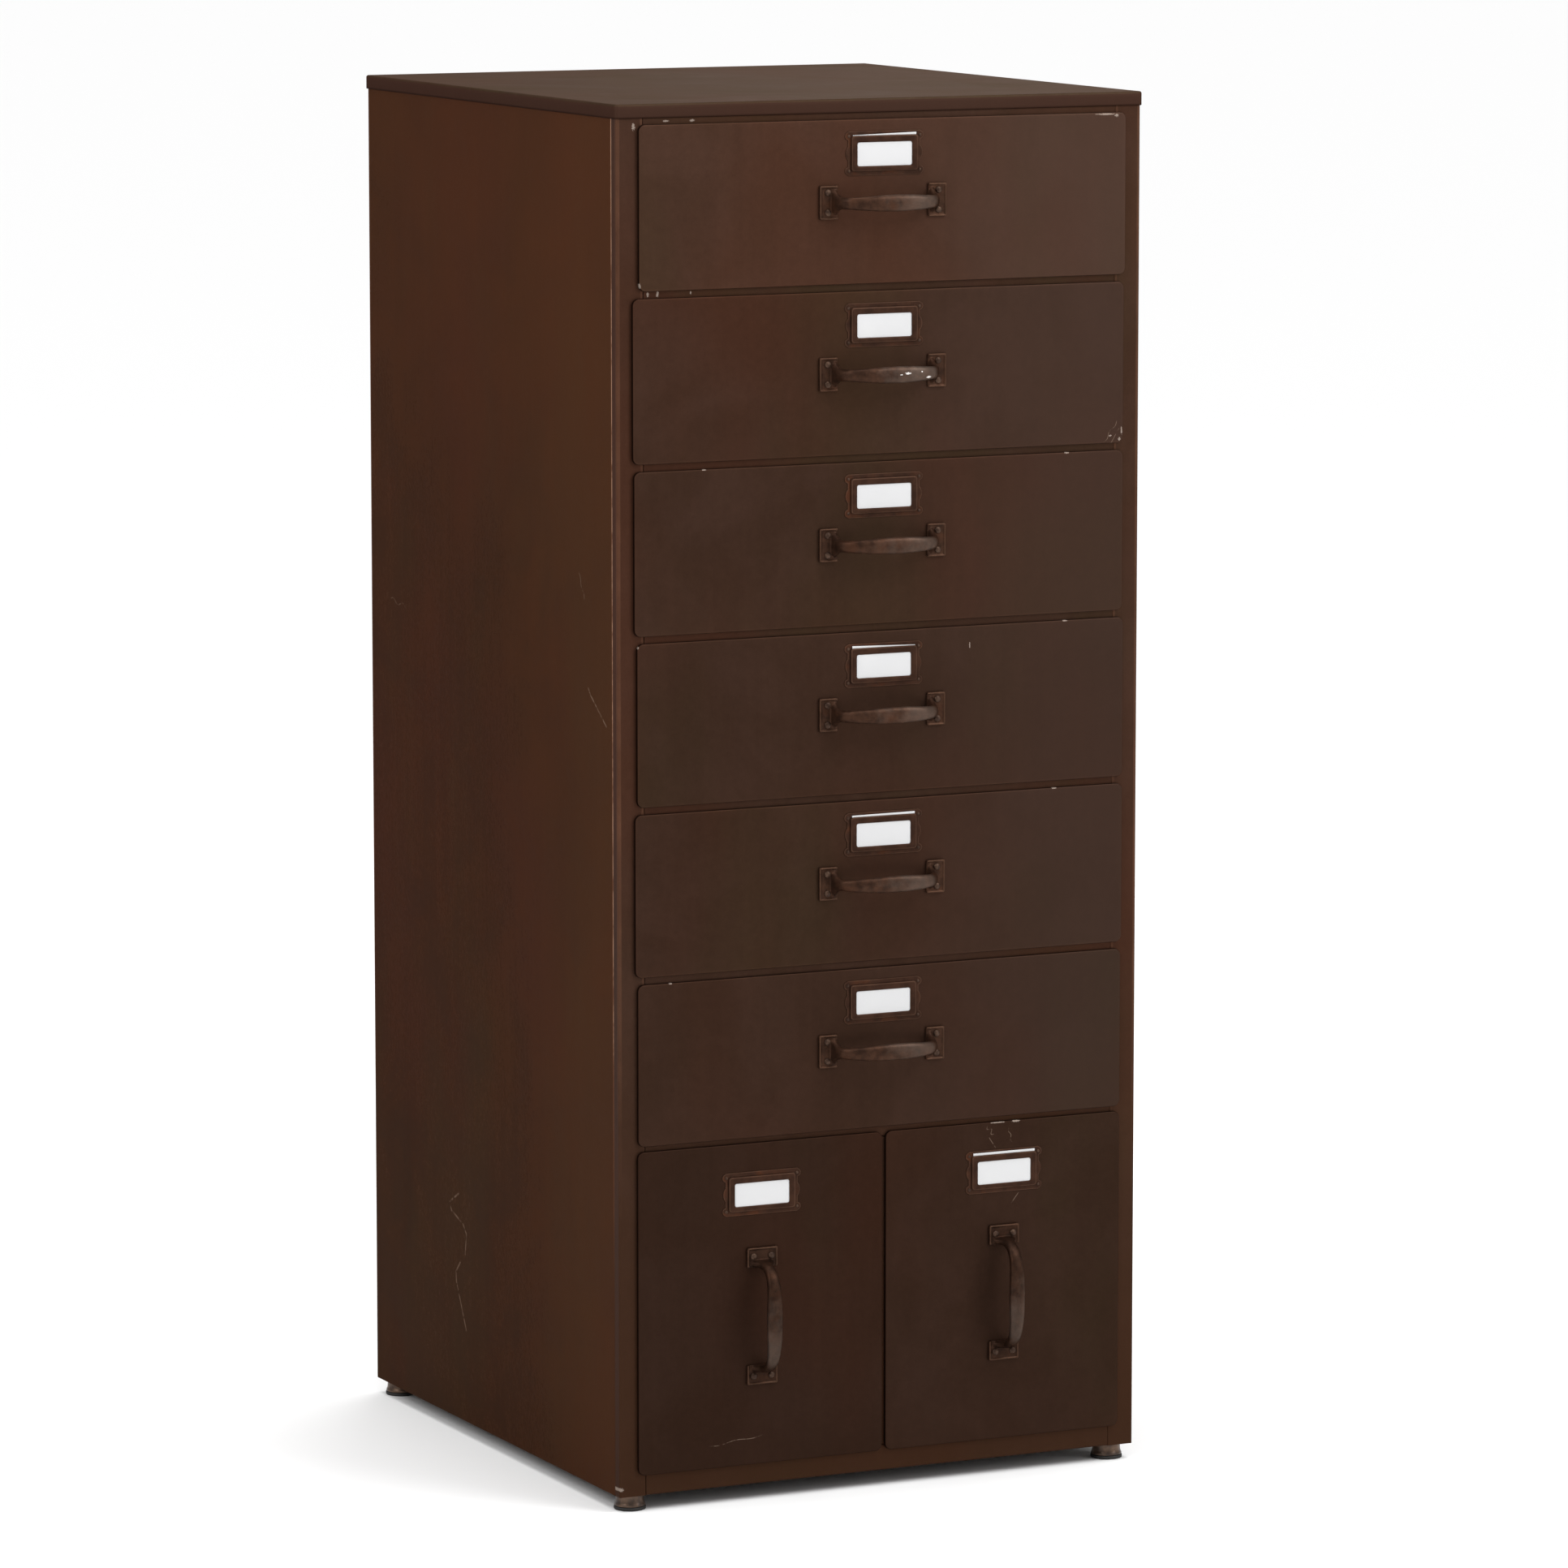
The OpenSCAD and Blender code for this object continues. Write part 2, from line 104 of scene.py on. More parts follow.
def make_stage():
    bm = bmesh.new()
    bmesh.ops.create_grid(bm, x_segments=1, y_segments=1, size=30)
    mesh = bpy.data.meshes.new("floor")
    bm.to_mesh(mesh)
    floor = bpy.data.objects.new("floor", mesh)
    bpy.context.collection.objects.link(floor)
    shade = Shade("floor_paint")
    shade.finish(colour=(0.86, 0.86, 0.86, 1), rough=0.9)
    mesh.materials.append(shade.material)

    world = bpy.data.worlds.new("studio")
    world.use_nodes = True
    background = world.node_tree.nodes["Background"]
    background.inputs["Color"].default_value = (1, 1, 1, 1)
    background.inputs["Strength"].default_value = 0.5
    bpy.context.scene.world = world
    bpy.context.scene.view_settings.view_transform = "Standard"

    area_light("front", (1.5, -2.3, 2.9), (0, -0.2, 0.9), 1.6, 60)
    area_light("right_fill", (2.9, -3.4, 1.5), (0.1, -0.2, 0.8), 1.6, 22)
    area_light("left", (-3.4, -1.4, 3.0), (-0.2, 0, 0.7), 2.4, 85)
    area_light("back", (2.6, 3.4, 3.2), (0, 0, 0.8), 2.5, 45)
    data = bpy.data.lights.new("sky_panel", "SUN")
    data.energy = 2.1
    data.angle = math.radians(50)
    sky_panel = bpy.data.objects.new("sky_panel", data)
    bpy.context.collection.objects.link(sky_panel)


# ---------------------------------------------------------------- shaders

class Shade:
    """One procedural material. Sockets and plain numbers mix freely as arguments."""

    def __init__(self, name, seed=0.0):
        self.material = bpy.data.materials.new(name)
        self.material.use_nodes = True
        self.tree = self.material.node_tree
        self.surface = self.tree.nodes["Principled BSDF"]
        coords = self.add("ShaderNodeTexCoord")
        self.place = coords.outputs["Object"]
        self.shifted = self.vector("ADD", self.place, (seed * 3.1, seed * 1.7, seed * 2.3))

    def add(self, kind, **settings):
        node = self.tree.nodes.new(kind)
        for key, value in settings.items():
            setattr(node, key, value)
        return node

    def put(self, socket, value):
        if isinstance(value, bpy.types.NodeSocket):
            self.tree.links.new(value, socket)
        else:
            socket.default_value = value

    def math(self, operation, *values):
        node = self.add("ShaderNodeMath", operation=operation)
        for socket, value in zip(node.inputs, values):
            self.put(socket, value)
        return node.outputs[0]

    def vector(self, operation, a, b):
        node = self.add("ShaderNodeVectorMath", operation=operation)
        self.put(node.inputs[0], a)
        self.put(node.inputs[1], b)
        return node.outputs["Vector"]

    def noise(self, scale, detail=2.0, rough=0.5, stretch=(1, 1, 1), warp=0.0):
        """Noise from 0 to 1, scale in cycles per metre."""
        node = self.add("ShaderNodeTexNoise")
        self.put(node.inputs["Vector"], self.vector("MULTIPLY", self.shifted, stretch))
        node.inputs["Scale"].default_value = scale
        node.inputs["Detail"].default_value = detail
        node.inputs["Roughness"].default_value = rough
        node.inputs["Distortion"].default_value = warp
        return node.outputs["Fac"]

    def step(self, value, low, high, top=1.0):
        """0 below low, top above high, smooth between."""
        node = self.add("ShaderNodeMapRange", interpolation_type="SMOOTHSTEP")
        for key, number in (("Value", value), ("From Min", low), ("From Max", high), ("To Max", top)):
            self.put(node.inputs[key], number)
        return node.outputs["Result"]

    def mix(self, factor, a, b):
        node = self.add("ShaderNodeMix", data_type="RGBA")
        self.put(node.inputs["Factor"], factor)
        self.put(node.inputs["A"], a)
        self.put(node.inputs["B"], b)
        return node.outputs["Result"]

    def attribute(self, name):
        return self.add("ShaderNodeAttribute", attribute_name=name).outputs["Fac"]

    def axis(self, letter):
        split = self.add("ShaderNodeSeparateXYZ")
        self.put(split.inputs[0], self.place)
        return split.outputs[letter]

    def scale(self, colour, gain):
        node = self.add("ShaderNodeVectorMath", operation="SCALE")
        self.put(node.inputs[0], colour)
        self.put(node.inputs["Scale"], gain)
        return node.outputs["Vector"]

    def vary(self, colour, signal, amount):
        """Brightens and darkens a colour by a 0 to 1 signal."""
        return self.scale(colour, self.math("MULTIPLY_ADD", signal, 2 * amount, 1 - amount))

    def bump(self, height, distance, strength=1.0, after=None):
        node = self.add("ShaderNodeBump")
        node.inputs["Strength"].default_value = strength
        node.inputs["Distance"].default_value = distance
        self.put(node.inputs["Height"], height)
        if after is not None:
            self.put(node.inputs["Normal"], after)
        return node.outputs["Normal"]

    def finish(self, colour, rough, normal=None, metal=0.0, gloss=0.5, tint=(1, 1, 1, 1)):
        for key, value in (("Base Color", colour), ("Roughness", rough), ("Metallic", metal),
                           ("Specular IOR Level", gloss), ("Specular Tint", tint)):
            self.put(self.surface.inputs[key], value)
        if normal is not None:
            self.put(self.surface.inputs["Normal"], normal)
        return self.material

    # Marks on a flat face. plane names the face's two axes, such as "XZ"

    def chip(self, plane, at, size):
        """1 inside a ragged little patch about the point at, with size across each way."""
        ragged = 0.9
        u = self.math("DIVIDE", self.math("SUBTRACT", self.axis(plane[0]), at[0]), size[0] / 2)
        v = self.math("DIVIDE", self.math("SUBTRACT", self.axis(plane[1]), at[1]), size[1] / 2)
        far = self.math("SQRT", self.math("ADD", self.math("MULTIPLY", u, u), self.math("MULTIPLY", v, v)))
        rough_edge = self.math("MULTIPLY_ADD", self.noise(900, 3), 2 * ragged, far)
        return self.step(rough_edge, 1.0 + ragged, 0.75 + ragged)

    def scratch(self, plane, start, end, width, wiggle):
        """1 along a thin line from start to end, of that half width. It wanders by wiggle to each side."""
        du, dv = end[0] - start[0], end[1] - start[1]
        length = math.hypot(du, dv)
        du, dv = du / length, dv / length
        u = self.math("SUBTRACT", self.axis(plane[0]), start[0])
        v = self.math("SUBTRACT", self.axis(plane[1]), start[1])
        along = self.math("ADD", self.math("MULTIPLY", u, du), self.math("MULTIPLY", v, dv))
        across = self.math("SUBTRACT", self.math("MULTIPLY", u, -dv), self.math("MULTIPLY", v, -du))
        share = self.math("DIVIDE", along, length)
        bend = self.math("SINE", self.math("MULTIPLY", share, 3 * math.pi))
        off = self.math("ABSOLUTE", self.math("MULTIPLY_ADD", bend, wiggle, across))
        body = self.step(off, width, width * 0.4)
        inside = self.math("MULTIPLY", self.step(share, -0.06, 0.02), self.step(share, 1.06, 0.98))
        broken = self.step(self.noise(190, 4), 0.38, 0.56)
        return self.math("MULTIPLY", self.math("MULTIPLY", body, inside), broken)

    def mark(self, colour, masks, share, paint):
        """Lays a share of paint over colour wherever one of the masks is 1."""
        if not masks:
            return colour
        total = masks[0]
        for mask in masks[1:]:
            total = self.math("MAXIMUM", total, mask)
        return self.mix(self.math("MULTIPLY", total, share), colour, paint)

    def chips(self, plane, chips, middle=(0, 0)):
        """Masks of (middle, size) chips, given in millimetres from middle."""
        return [self.chip(plane, in_metres(at, middle), in_metres(size)) for at, size in chips]


def in_metres(point, middle=(0, 0)):
    return [(a + b) * MM for a, b in zip(point, middle)]


# Colours, linear
BROWN_LIGHT = (0.050, 0.0250, 0.0165, 1)
BROWN_DARK = (0.040, 0.0195, 0.0120, 1)
# The lid's colours are lighter and greyer than the other sheets': a painted sheen on its top. Its lip is
# ramped back to LIP_RED.
LID_SHEEN_LIGHT = (0.055, 0.035, 0.0225, 1)
LID_SHEEN_DARK = (0.043, 0.0265, 0.0165, 1)
SIDE_LIGHT = (0.049, 0.0200, 0.0090, 1)
SIDE_DARK = (0.038, 0.0165, 0.0075, 1)
WARM = (0.056, 0.0190, 0.0100, 1)
OLIVE = (0.040, 0.0260, 0.0125, 1)
RUST = (0.135, 0.062, 0.036, 1)
BARE = (0.34, 0.205, 0.140, 1)
PALE_CHIP = (0.27, 0.215, 0.180, 1)
SCRATCHED = (0.19, 0.132, 0.098, 1)
# Painted shade for the side walls round the fronts and the lid's lip, where the wear and shade attribute is
# below 0
PAINTED_SHADE = (0.011, 0.0045, 0.0028, 1)
PATINA_TINT = (0.40, 0.32, 0.25, 1)
SIDE_TINT = (0.26, 0.165, 0.10, 1)
# Painted light, laid on the side panels towards their tops and fronts
SIDE_PAINTED_LIGHT = (0.088, 0.034, 0.0145, 1)
LIP_RED = (0.046, 0.0215, 0.0155, 1)


# Chips are (middle, size) and scratches are (start, end, half width, wiggle), in millimetres. A front's are
# measured from its own middle, and the others from the frame's origin.
FRAME_CHIPS = [((-234, 1195), (3, 6)), ((-204, 1199), (6, 1.8)), ((-179, 1199), (5, 2.2)),
               ((-221, 1053), (2, 5)), ((-212, 1053), (2.6, 5)), ((-181, 1053), (1.6, 3)),
               ((-249, 21), (5, 3.5))]
# Each front's brightness: painted shade, darker on the lower drawers as if lit from above, partly each
# drawer's own paint.
FRONT_SHADE_TONES = (1.05, 0.84, 0.78, 0.75, 0.75, 0.73, 0.56, 0.63)
FRONT_MARKS = {
    1: ([((-232, -66), (2, 6)), ((212, 69), (19, 1.6)), ((223, 68), (4, 3))], ()),
    2: ([((222, -64), (2.6, 2)), ((231, -67), (2.4, 3.5)), ((233, -60), (1.6, 7))],
        [((216, -69), (228, -52), 0.35, 1), ((223, -70), (231, -57), 0.3, 0)]),
    3: ([((179, 70), (5, 1.3)), ((-169, 70), (4, 1.3))], ()),
    4: ([((-233, 69), (1.8, 5)), ((176, 70), (5, 1.4)), ((83, 53), (1.1, 6))], ()),
    5: ([((167, 70), (5, 1.4))], ()),
    6: ([((-203, 70), (4, 1.3))], ()),
    7: ((), [((-48, -122), (-1, -117), 0.4, 0.8)]),
    8: ([((12, 141), (8, 2)), ((-6, 141), (16, 1))],
        [((-16, 138), (-10, 131), 0.5, 1.6), ((-14, 128), (-8, 119), 0.35, 0), ((5, 135), (8, 123), 0.4, 0.8),
         ((15, 77), (7, 67), 0.4, 0)]),
}
GRIP_FLECKS = [((8, 980), (6, 2)), ((2, 979), (2.4, 1.2)), ((29, 976), (5, 2)), ((22, 981), (1.6, 1))]
SIDE_LINES = (((95, 220), (116, 209), (111, 202), (85, 194), (77, 186), (80, 167)),
              ((91, 158), (101, 148), (100, 139), (78, 99)),
              ((-195, 712), (-200, 706), (-232, 683)))
# Painted light: the side panels are painted lighter and redder towards their tops and front edges.
SIDE_PAINTED_LIGHT_RAMPS = [("Y", 0.06, -0.26, 0.36, SIDE_PAINTED_LIGHT), ("Z", 0.62, 1.2, 0.36, SIDE_PAINTED_LIGHT)]
# Painted sheen: the wide fronts are painted lighter and greyer towards their right.
FRONT_SHEEN_RAMPS = [("X", -0.05, 0.24, 0.5, (0.054, 0.0325, 0.0250, 1))]
# Painted shade: the stiles and rails are painted darker towards the bottom.
FRAME_SHADE_RAMPS = [("Z", 0.5, 0.02, 0.6, (0.040, 0.0165, 0.0075, 1))]
SIDE_SCRATCHES = [(a, b, 1.1, 0) for line in SIDE_LINES for a, b in zip(line, line[1:])]
SIDE_SCRATCHES += [((-177, 809), (-188, 788), 0.5, 1), ((242, 743), (209, 739), 0.5, 2)]


def aged_iron(name, seed, light=BROWN_LIGHT, dark=BROWN_DARK, tone=1.0, warmth=0.5, olive=0.35, wear=0.9,
              rough=0.52, gloss=0.06, tint=PATINA_TINT, ramps=(), chips=(), scratches=(), plane="XZ",
              middle=(0, 0)):
    """Brown patinated sheet steel: clouds of warm and olive tint, rubbed streaks, worn bends, chips, and
    painted shade where the wear and shade attribute is below 0. Each ramp (axis, from, to, share, colour)
    tints it along an axis. Chips and scratches are measured from middle, in millimetres."""
    s = Shade(name, seed)
    mottle = s.noise(11, 6, 0.6, warp=0.6)
    colour = s.mix(s.step(mottle, 0.3, 0.72), dark, light)
    warm_cloud = s.step(s.noise(3.1, 3, 0.5, stretch=(1, 1, 0.7)), 0.42, 0.68, warmth)
    colour = s.mix(warm_cloud, colour, WARM)
    olive_cloud = s.step(s.noise(4.3, 3, 0.55, stretch=(1.4, 1.4, 0.5)), 0.47, 0.7, olive)
    colour = s.mix(olive_cloud, colour, OLIVE)
    streak = s.noise(70, 3, 0.6, stretch=(1, 1, 0.05))
    grain = s.noise(620, 2, 0.6)
    speckle = s.noise(160, 4, 0.7)
    colour = s.vary(colour, streak, 0.10)
    colour = s.vary(colour, grain, 0.10)
    colour = s.vary(colour, speckle, 0.16)

    for letter, start, end, share, paint in ramps:
        colour = s.mix(s.step(s.axis(letter), start, end, share), colour, paint)

    wear_and_shade = s.attribute("wear_and_shade")
    # Painted shade where the wear and shade attribute is below 0: the side walls round each front and the
    # lid's lip.
    colour = s.mix(s.step(wear_and_shade, 0.0, -0.8), s.scale(colour, tone), PAINTED_SHADE)
    wear_and_shade = s.math("MULTIPLY", wear_and_shade, s.step(s.axis("Z"), 0.05, 0.5))
    rusty = s.step(s.math("MULTIPLY", wear_and_shade, s.math("ADD", s.noise(26, 5, 0.65), 0.5)), 0.12, 0.9, wear)
    colour = s.mix(rusty, colour, RUST)
    bare = s.step(s.math("MULTIPLY", wear_and_shade, s.math("ADD", s.noise(42, 4, 0.7), 0.45)), 0.78, 1.0, wear)
    colour = s.mix(bare, colour, BARE)

    roughness = s.math("MULTIPLY_ADD", mottle, 0.22, rough - 0.11)
    colour = s.mark(colour, s.chips(plane, chips, middle), 0.85, PALE_CHIP)
    lines = [s.scratch(plane, in_metres(a, middle), in_metres(b, middle), half * MM, wiggle * MM)
             for a, b, half, wiggle in scratches]
    colour = s.mark(colour, lines, 0.65, SCRATCHED)
    skin = s.bump(s.noise(210, 4, 0.6), 0.12 * MM, 0.5)
    skin = s.bump(s.noise(1400, 2, 0.6), 0.03 * MM, 0.4, after=skin)
    return s.finish(colour, roughness, skin, metal=0.55, gloss=gloss, tint=tint)


def inner_paint():
    s = Shade("inner_paint", 5.0)
    colour = s.mix(s.step(s.noise(9, 5, 0.6), 0.3, 0.7), (0.030, 0.0185, 0.0135, 1), (0.052, 0.033, 0.024, 1))
    colour = s.mix(s.step(s.noise(26, 4, 0.6), 0.58, 0.74, 0.5), colour, WARM)
    colour = s.vary(colour, s.noise(500, 2), 0.12)
    rough = s.math("MULTIPLY_ADD", s.noise(15, 4), 0.2, 0.45)
    skin = s.bump(s.noise(420, 3), 0.05 * MM, 0.5)
    return s.finish(colour, rough, skin, gloss=0.2, tint=(0.6, 0.48, 0.40, 1))


def runner_steel():
    s = Shade("runner_steel", 6.0)
    rub = s.noise(120, 3, 0.6, stretch=(1, 0.03, 1))
    colour = s.mix(s.step(rub, 0.35, 0.7), (0.10, 0.085, 0.072, 1), (0.24, 0.22, 0.20, 1))
    colour = s.mix(s.step(s.noise(22, 5, 0.6), 0.55, 0.75, 0.6), colour, (0.10, 0.045, 0.022, 1))
    return s.finish(colour, s.math("MULTIPLY_ADD", rub, 0.2, 0.32), s.bump(rub, 0.04 * MM, 0.4), metal=0.8)


def cast_iron(name, seed, grey=0.35, tone=0.72, flecks=()):
    """Brown waxed casting, rubbed to grey metal where hands take it, by the "rub" attribute."""
    s = Shade(name, seed)
    mottle = s.noise(130, 5, 0.65)
    colour = s.mix(s.step(mottle, 0.3, 0.7), (0.034, 0.0165, 0.0108, 1), (0.072, 0.034, 0.0205, 1))
    colour = s.scale(s.mix(s.step(s.noise(60, 3), 0.5, 0.7, 0.4), colour, (0.085, 0.033, 0.017, 1)), tone)
    rub = s.attribute("rub")
    uneven = s.math("MULTIPLY_ADD", s.noise(75, 4, 0.6), 0.9, -0.45)
    patch = s.math("MULTIPLY_ADD", rub, 1.25, uneven)
    polished = s.step(patch, 0.70, 1.35, grey)
    colour = s.mix(polished, colour, (0.130, 0.098, 0.080, 1))
    colour = s.mark(colour, s.chips("XZ", flecks), 1.0, (0.62, 0.59, 0.57, 1))
    wear_and_shade = s.attribute("wear_and_shade")
    colour = s.mix(s.step(s.math("MULTIPLY", wear_and_shade, s.math("ADD", mottle, 0.3)), 0.3, 0.8, 0.35), colour,
                   (0.110, 0.058, 0.036, 1))
    colour = s.vary(colour, s.noise(900, 2), 0.14)
    rough = s.math("MULTIPLY_ADD", polished, -0.10, 0.46)
    skin = s.bump(s.noise(330, 4, 0.6), 0.14 * MM, 0.6)
    return s.finish(colour, rough, skin, metal=0.6, gloss=0.15, tint=(0.6, 0.5, 0.42, 1))


def holder_metal(name, seed):
    s = Shade(name, seed)
    patch = s.noise(95, 4, 0.6)
    colour = s.mix(s.step(patch, 0.35, 0.65), (0.028, 0.0135, 0.0090, 1), (0.044, 0.0205, 0.0130, 1))
    left_rust = s.step(s.noise(48, 3), 0.50, 0.66, 0.6)
    colour = s.mix(s.math("MULTIPLY", left_rust, s.attribute("flange")), colour, (0.072, 0.024, 0.011, 1))
    wear_and_shade = s.math("MULTIPLY", s.attribute("wear_and_shade"), s.math("ADD", s.noise(60, 4), 0.3))
    colour = s.mix(s.step(wear_and_shade, 0.3, 0.95, 0.45), colour, (0.115, 0.062, 0.040, 1))
    colour = s.vary(colour, s.noise(800, 2), 0.12)
    return s.finish(colour, s.math("MULTIPLY_ADD", patch, 0.2, 0.38), s.bump(s.noise(500, 3), 0.05 * MM, 0.5),
                    metal=0.6, gloss=0.12, tint=PATINA_TINT)


def screw_metal():
    s = Shade("screw_metal", 9.0)
    patch = s.noise(260, 4, 0.6)
    colour = s.mix(s.step(patch, 0.35, 0.7), (0.030, 0.0155, 0.0100, 1), (0.080, 0.046, 0.030, 1))
    rough = s.math("MULTIPLY_ADD", patch, 0.2, 0.36)
    return s.finish(colour, rough, s.bump(patch, 0.08 * MM, 0.5), metal=0.6, gloss=0.2)


def card_paper():
    s = Shade("card_paper", 3.0)
    fibre = s.noise(1500, 3, 0.6)
    colour = s.vary((0.57, 0.57, 0.575), fibre, 0.02)
    colour = s.mix(s.step(s.noise(18, 3), 0.5, 0.8, 0.12), colour, (0.82, 0.80, 0.76, 1))
    return s.finish(colour, 0.75, s.bump(fibre, 0.02 * MM, 0.4), gloss=0.3)


def foot_metal():
    s = Shade("foot_metal", 2.0)
    ring = s.noise(240, 3, 0.6, stretch=(0.1, 0.1, 1))
    colour = s.mix(s.step(s.noise(90, 4), 0.35, 0.65), (0.040, 0.026, 0.020, 1), (0.125, 0.075, 0.048, 1))
    return s.finish(colour, s.math("MULTIPLY_ADD", ring, 0.2, 0.22), s.bump(ring, 0.05 * MM, 0.5), metal=0.6)


def pad_rubber():
    s = Shade("pad_rubber", 1.0)
    colour = s.mix(s.noise(120, 4), (0.010, 0.009, 0.009, 1), (0.022, 0.020, 0.018, 1))
    return s.finish(colour, 0.7, s.bump(s.noise(700, 3), 0.05 * MM, 0.5), gloss=0.35)


# ---------------------------------------------------------------- mesh tools

def new_bm(*layers):
    bm = bmesh.new()
    for layer in layers or ("wear_and_shade",):
        bm.verts.layers.float.new(layer)
    return bm


def put_piece(bm, name, body, material, slot, replaces=(), crease=38):
    """Turns bm into a shaded piece that rides on a body and stands for CAD nodes."""
    bmesh.ops.recalc_face_normals(bm, faces=bm.faces)
    limit = math.radians(crease)
    for face in bm.faces:
        face.smooth = True
    for edge in bm.edges:
        edge.smooth = len(edge.link_faces) == 2 and edge.calc_face_angle(0) < limit
    mesh = bpy.data.meshes.new(name)
    bm.to_mesh(mesh)
    bm.free()
    return put_mesh(mesh, name, body, material, slot, replaces)


def put_mesh(mesh, name, body, material, slot, replaces=()):
    piece = bpy.data.objects.new(name, mesh)
    bpy.context.collection.objects.link(piece)
    mesh.materials.append(material)
    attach(piece, body)
    if replaces:
        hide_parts(*replaces)
    return piece


def lerp(a, b, t):
    return a + (b - a) * t


def steps(a, b, n):
    return [lerp(a, b, k / n) for k in range(n + 1)]


def ring_of(size, radius, inset, spans, arc):
    """A rounded rectangle, set in by inset, with its corners' centres fixed. Anticlockwise."""
    cu, cv, r = size[0] / 2 - radius, size[1] / 2 - radius, radius - inset
    points = []
    for turn, (ends, n) in enumerate((((-cu, cu), spans[0]), ((-cv, cv), spans[1]),
                                      ((cu, -cu), spans[0]), ((cv, -cv), spans[1]))):
        sweep = turn * math.pi / 2
        for t in steps(*ends, n):
            points.append(((t, -cv - r), (cu + r, t), (t, cv + r), (-cu - r, t))[turn])
        corner = ((cu, -cv), (cu, cv), (-cu, cv), (-cu, -cv))[turn]
        for k in range(1, arc):
            a = sweep - math.pi / 2 + k / arc * math.pi / 2
            points.append((corner[0] + r * math.cos(a), corner[1] + r * math.sin(a)))
    return points


def add_ring(bm, points, wear_and_shade=0.0):
    layer = bm.verts.layers.float["wear_and_shade"]
    made = []
    for p in points:
        vert = bm.verts.new(p)
        vert[layer] = wear_and_shade
        made.append(vert)
    return made


def join_rings(bm, a, b):
    n = len(a)
    for k in range(n):
        bm.faces.new((a[k], a[(k + 1) % n], b[(k + 1) % n], b[k]))


def panel(bm, size, radius, profile, spans, place, arc=6):
    """A folded pan. profile runs from the middle of its hollow side to its face: (inset, height, wear and
    shade) rings.
    The last ring has an inset of radius, and a grid fills it. place puts (u, v, height) in the frame."""
    rings = []
    for inset, height, wear_and_shade in profile:
        points = [place(u, v, height) for u, v in ring_of(size, radius, inset, spans, arc)]
        rings.append(add_ring(bm, points, wear_and_shade))
    for a, b in zip(rings, rings[1:]):
        join_rings(bm, a, b)
    bm.faces.new(rings[0])
    height = profile[-1][1]
    us = steps(radius - size[0] / 2, size[0] / 2 - radius, spans[0])
    vs = steps(radius - size[1] / 2, size[1] / 2 - radius, spans[1])
    grid = [add_ring(bm, [place(u, v, height) for u in us]) for v in vs]
    for low, high in zip(grid, grid[1:]):
        for k in range(spans[0]):
            bm.faces.new((low[k], low[k + 1], high[k + 1], high[k]))
    bmesh.ops.remove_doubles(bm, verts=bm.verts, dist=0.002 * MM)


def bend(inset, height, radius, n=5, wear_and_shade=1.0):
    """Profile rings of the outer bend between a pan's side and its face at height."""
    rings = []
    for k in range(n + 1):
        a = k / n * math.pi / 2
        rings.append((inset + radius * (1 - math.cos(a)), height - radius * (1 - math.sin(a)), wear_and_shade))
    return rings


def folded(path, thick, radius, arc=5, step=30 * MM, wear_and_shade=(0, 0.5, 0)):
    """Closed outline of folded sheet about its middle line: (a, b, wear and shade) points.
    The last argument gives the wear for the path's start, its bends and its end."""
    path = [Vector(p) for p in path]
    left = lambda d: Vector((-d.y, d.x))
    line = []
    for i, p in enumerate(path):
        before = (p - path[i - 1]).normalized() if i else None
        after = (path[i + 1] - p).normalized() if i + 1 < len(path) else None
        if before is None or after is None:
            line.append((p, left(before or after), wear_and_shade[2] if before else wear_and_shade[0]))
            continue
        turn = math.atan2(before.cross(after), before.dot(after))
        start = p - before * radius * math.tan(abs(turn) / 2)
        side = math.copysign(1, turn)
        centre = start + left(before) * radius * side
        for k in range(arc + 1):
            spin = Matrix.Rotation(turn * k / arc, 2)
            line.append((centre - spin @ left(before) * radius * side, spin @ left(before), wear_and_shade[1]))
    dense = [line[0]]
    for (p, n, w), (q, m, x) in zip(line, line[1:]):
        gap = (q - p).length
        if gap > 6 * MM:
            near, edge = 1.2 * MM / gap, 2.4 * MM / gap
            dense.append((p.lerp(q, near), n, w))
            for t in steps(edge, 1 - edge, max(1, round(gap / step))):
                dense.append((p.lerp(q, t), n, 0.0))
            dense.append((p.lerp(q, 1 - near), n, x))
        dense.append((q, m, x))
    outer = [(*(p + n * thick / 2), w) for p, n, w in dense]
    inner = [(*(p - n * thick / 2), w) for p, n, w in reversed(dense)]
    return outer + inner


def extrude(bm, outline, stations, place):
    """Sweeps an outline of (a, b, wear and shade) points along stations. place puts (a, b, c) in the frame.
    """
    layer = bm.verts.layers.float["wear_and_shade"]
    rows = []
    for c in stations:
        row = add_ring(bm, [place(a, b, c) for a, b, _ in outline])
        for vert, (_, _, wear_and_shade) in zip(row, outline):
            vert[layer] = wear_and_shade
        rows.append(row)
    for a, b in zip(rows, rows[1:]):
        join_rings(bm, a, b)
    bm.faces.new(rows[0])
    bm.faces.new(list(reversed(rows[-1])))


def lathe(bm, profile, axis, segments=48):
    """Turns (radius, height) points about axis(x, y, height). A radius of 0 closes an end."""
    rings = []
    for radius, height in profile:
        rings.append(add_ring(bm, [axis(radius * math.cos(math.tau * k / segments),
                                        radius * math.sin(math.tau * k / segments), height)
                                   for k in range(segments)]))
    for a, b in zip(rings, rings[1:]):
        join_rings(bm, a, b)
    bm.faces.new(list(reversed(rings[0])))
    bm.faces.new(rings[-1])


def waviness(seed, depth, length):
    """Gentle unevenness of thin sheet: a function of two positions, from -depth to depth."""
    def wave(u, v):
        p = Vector((u / length, v / length, seed))
        return depth * (noise.noise(p) + 0.35 * noise.noise(p * 2.9))
    return wave


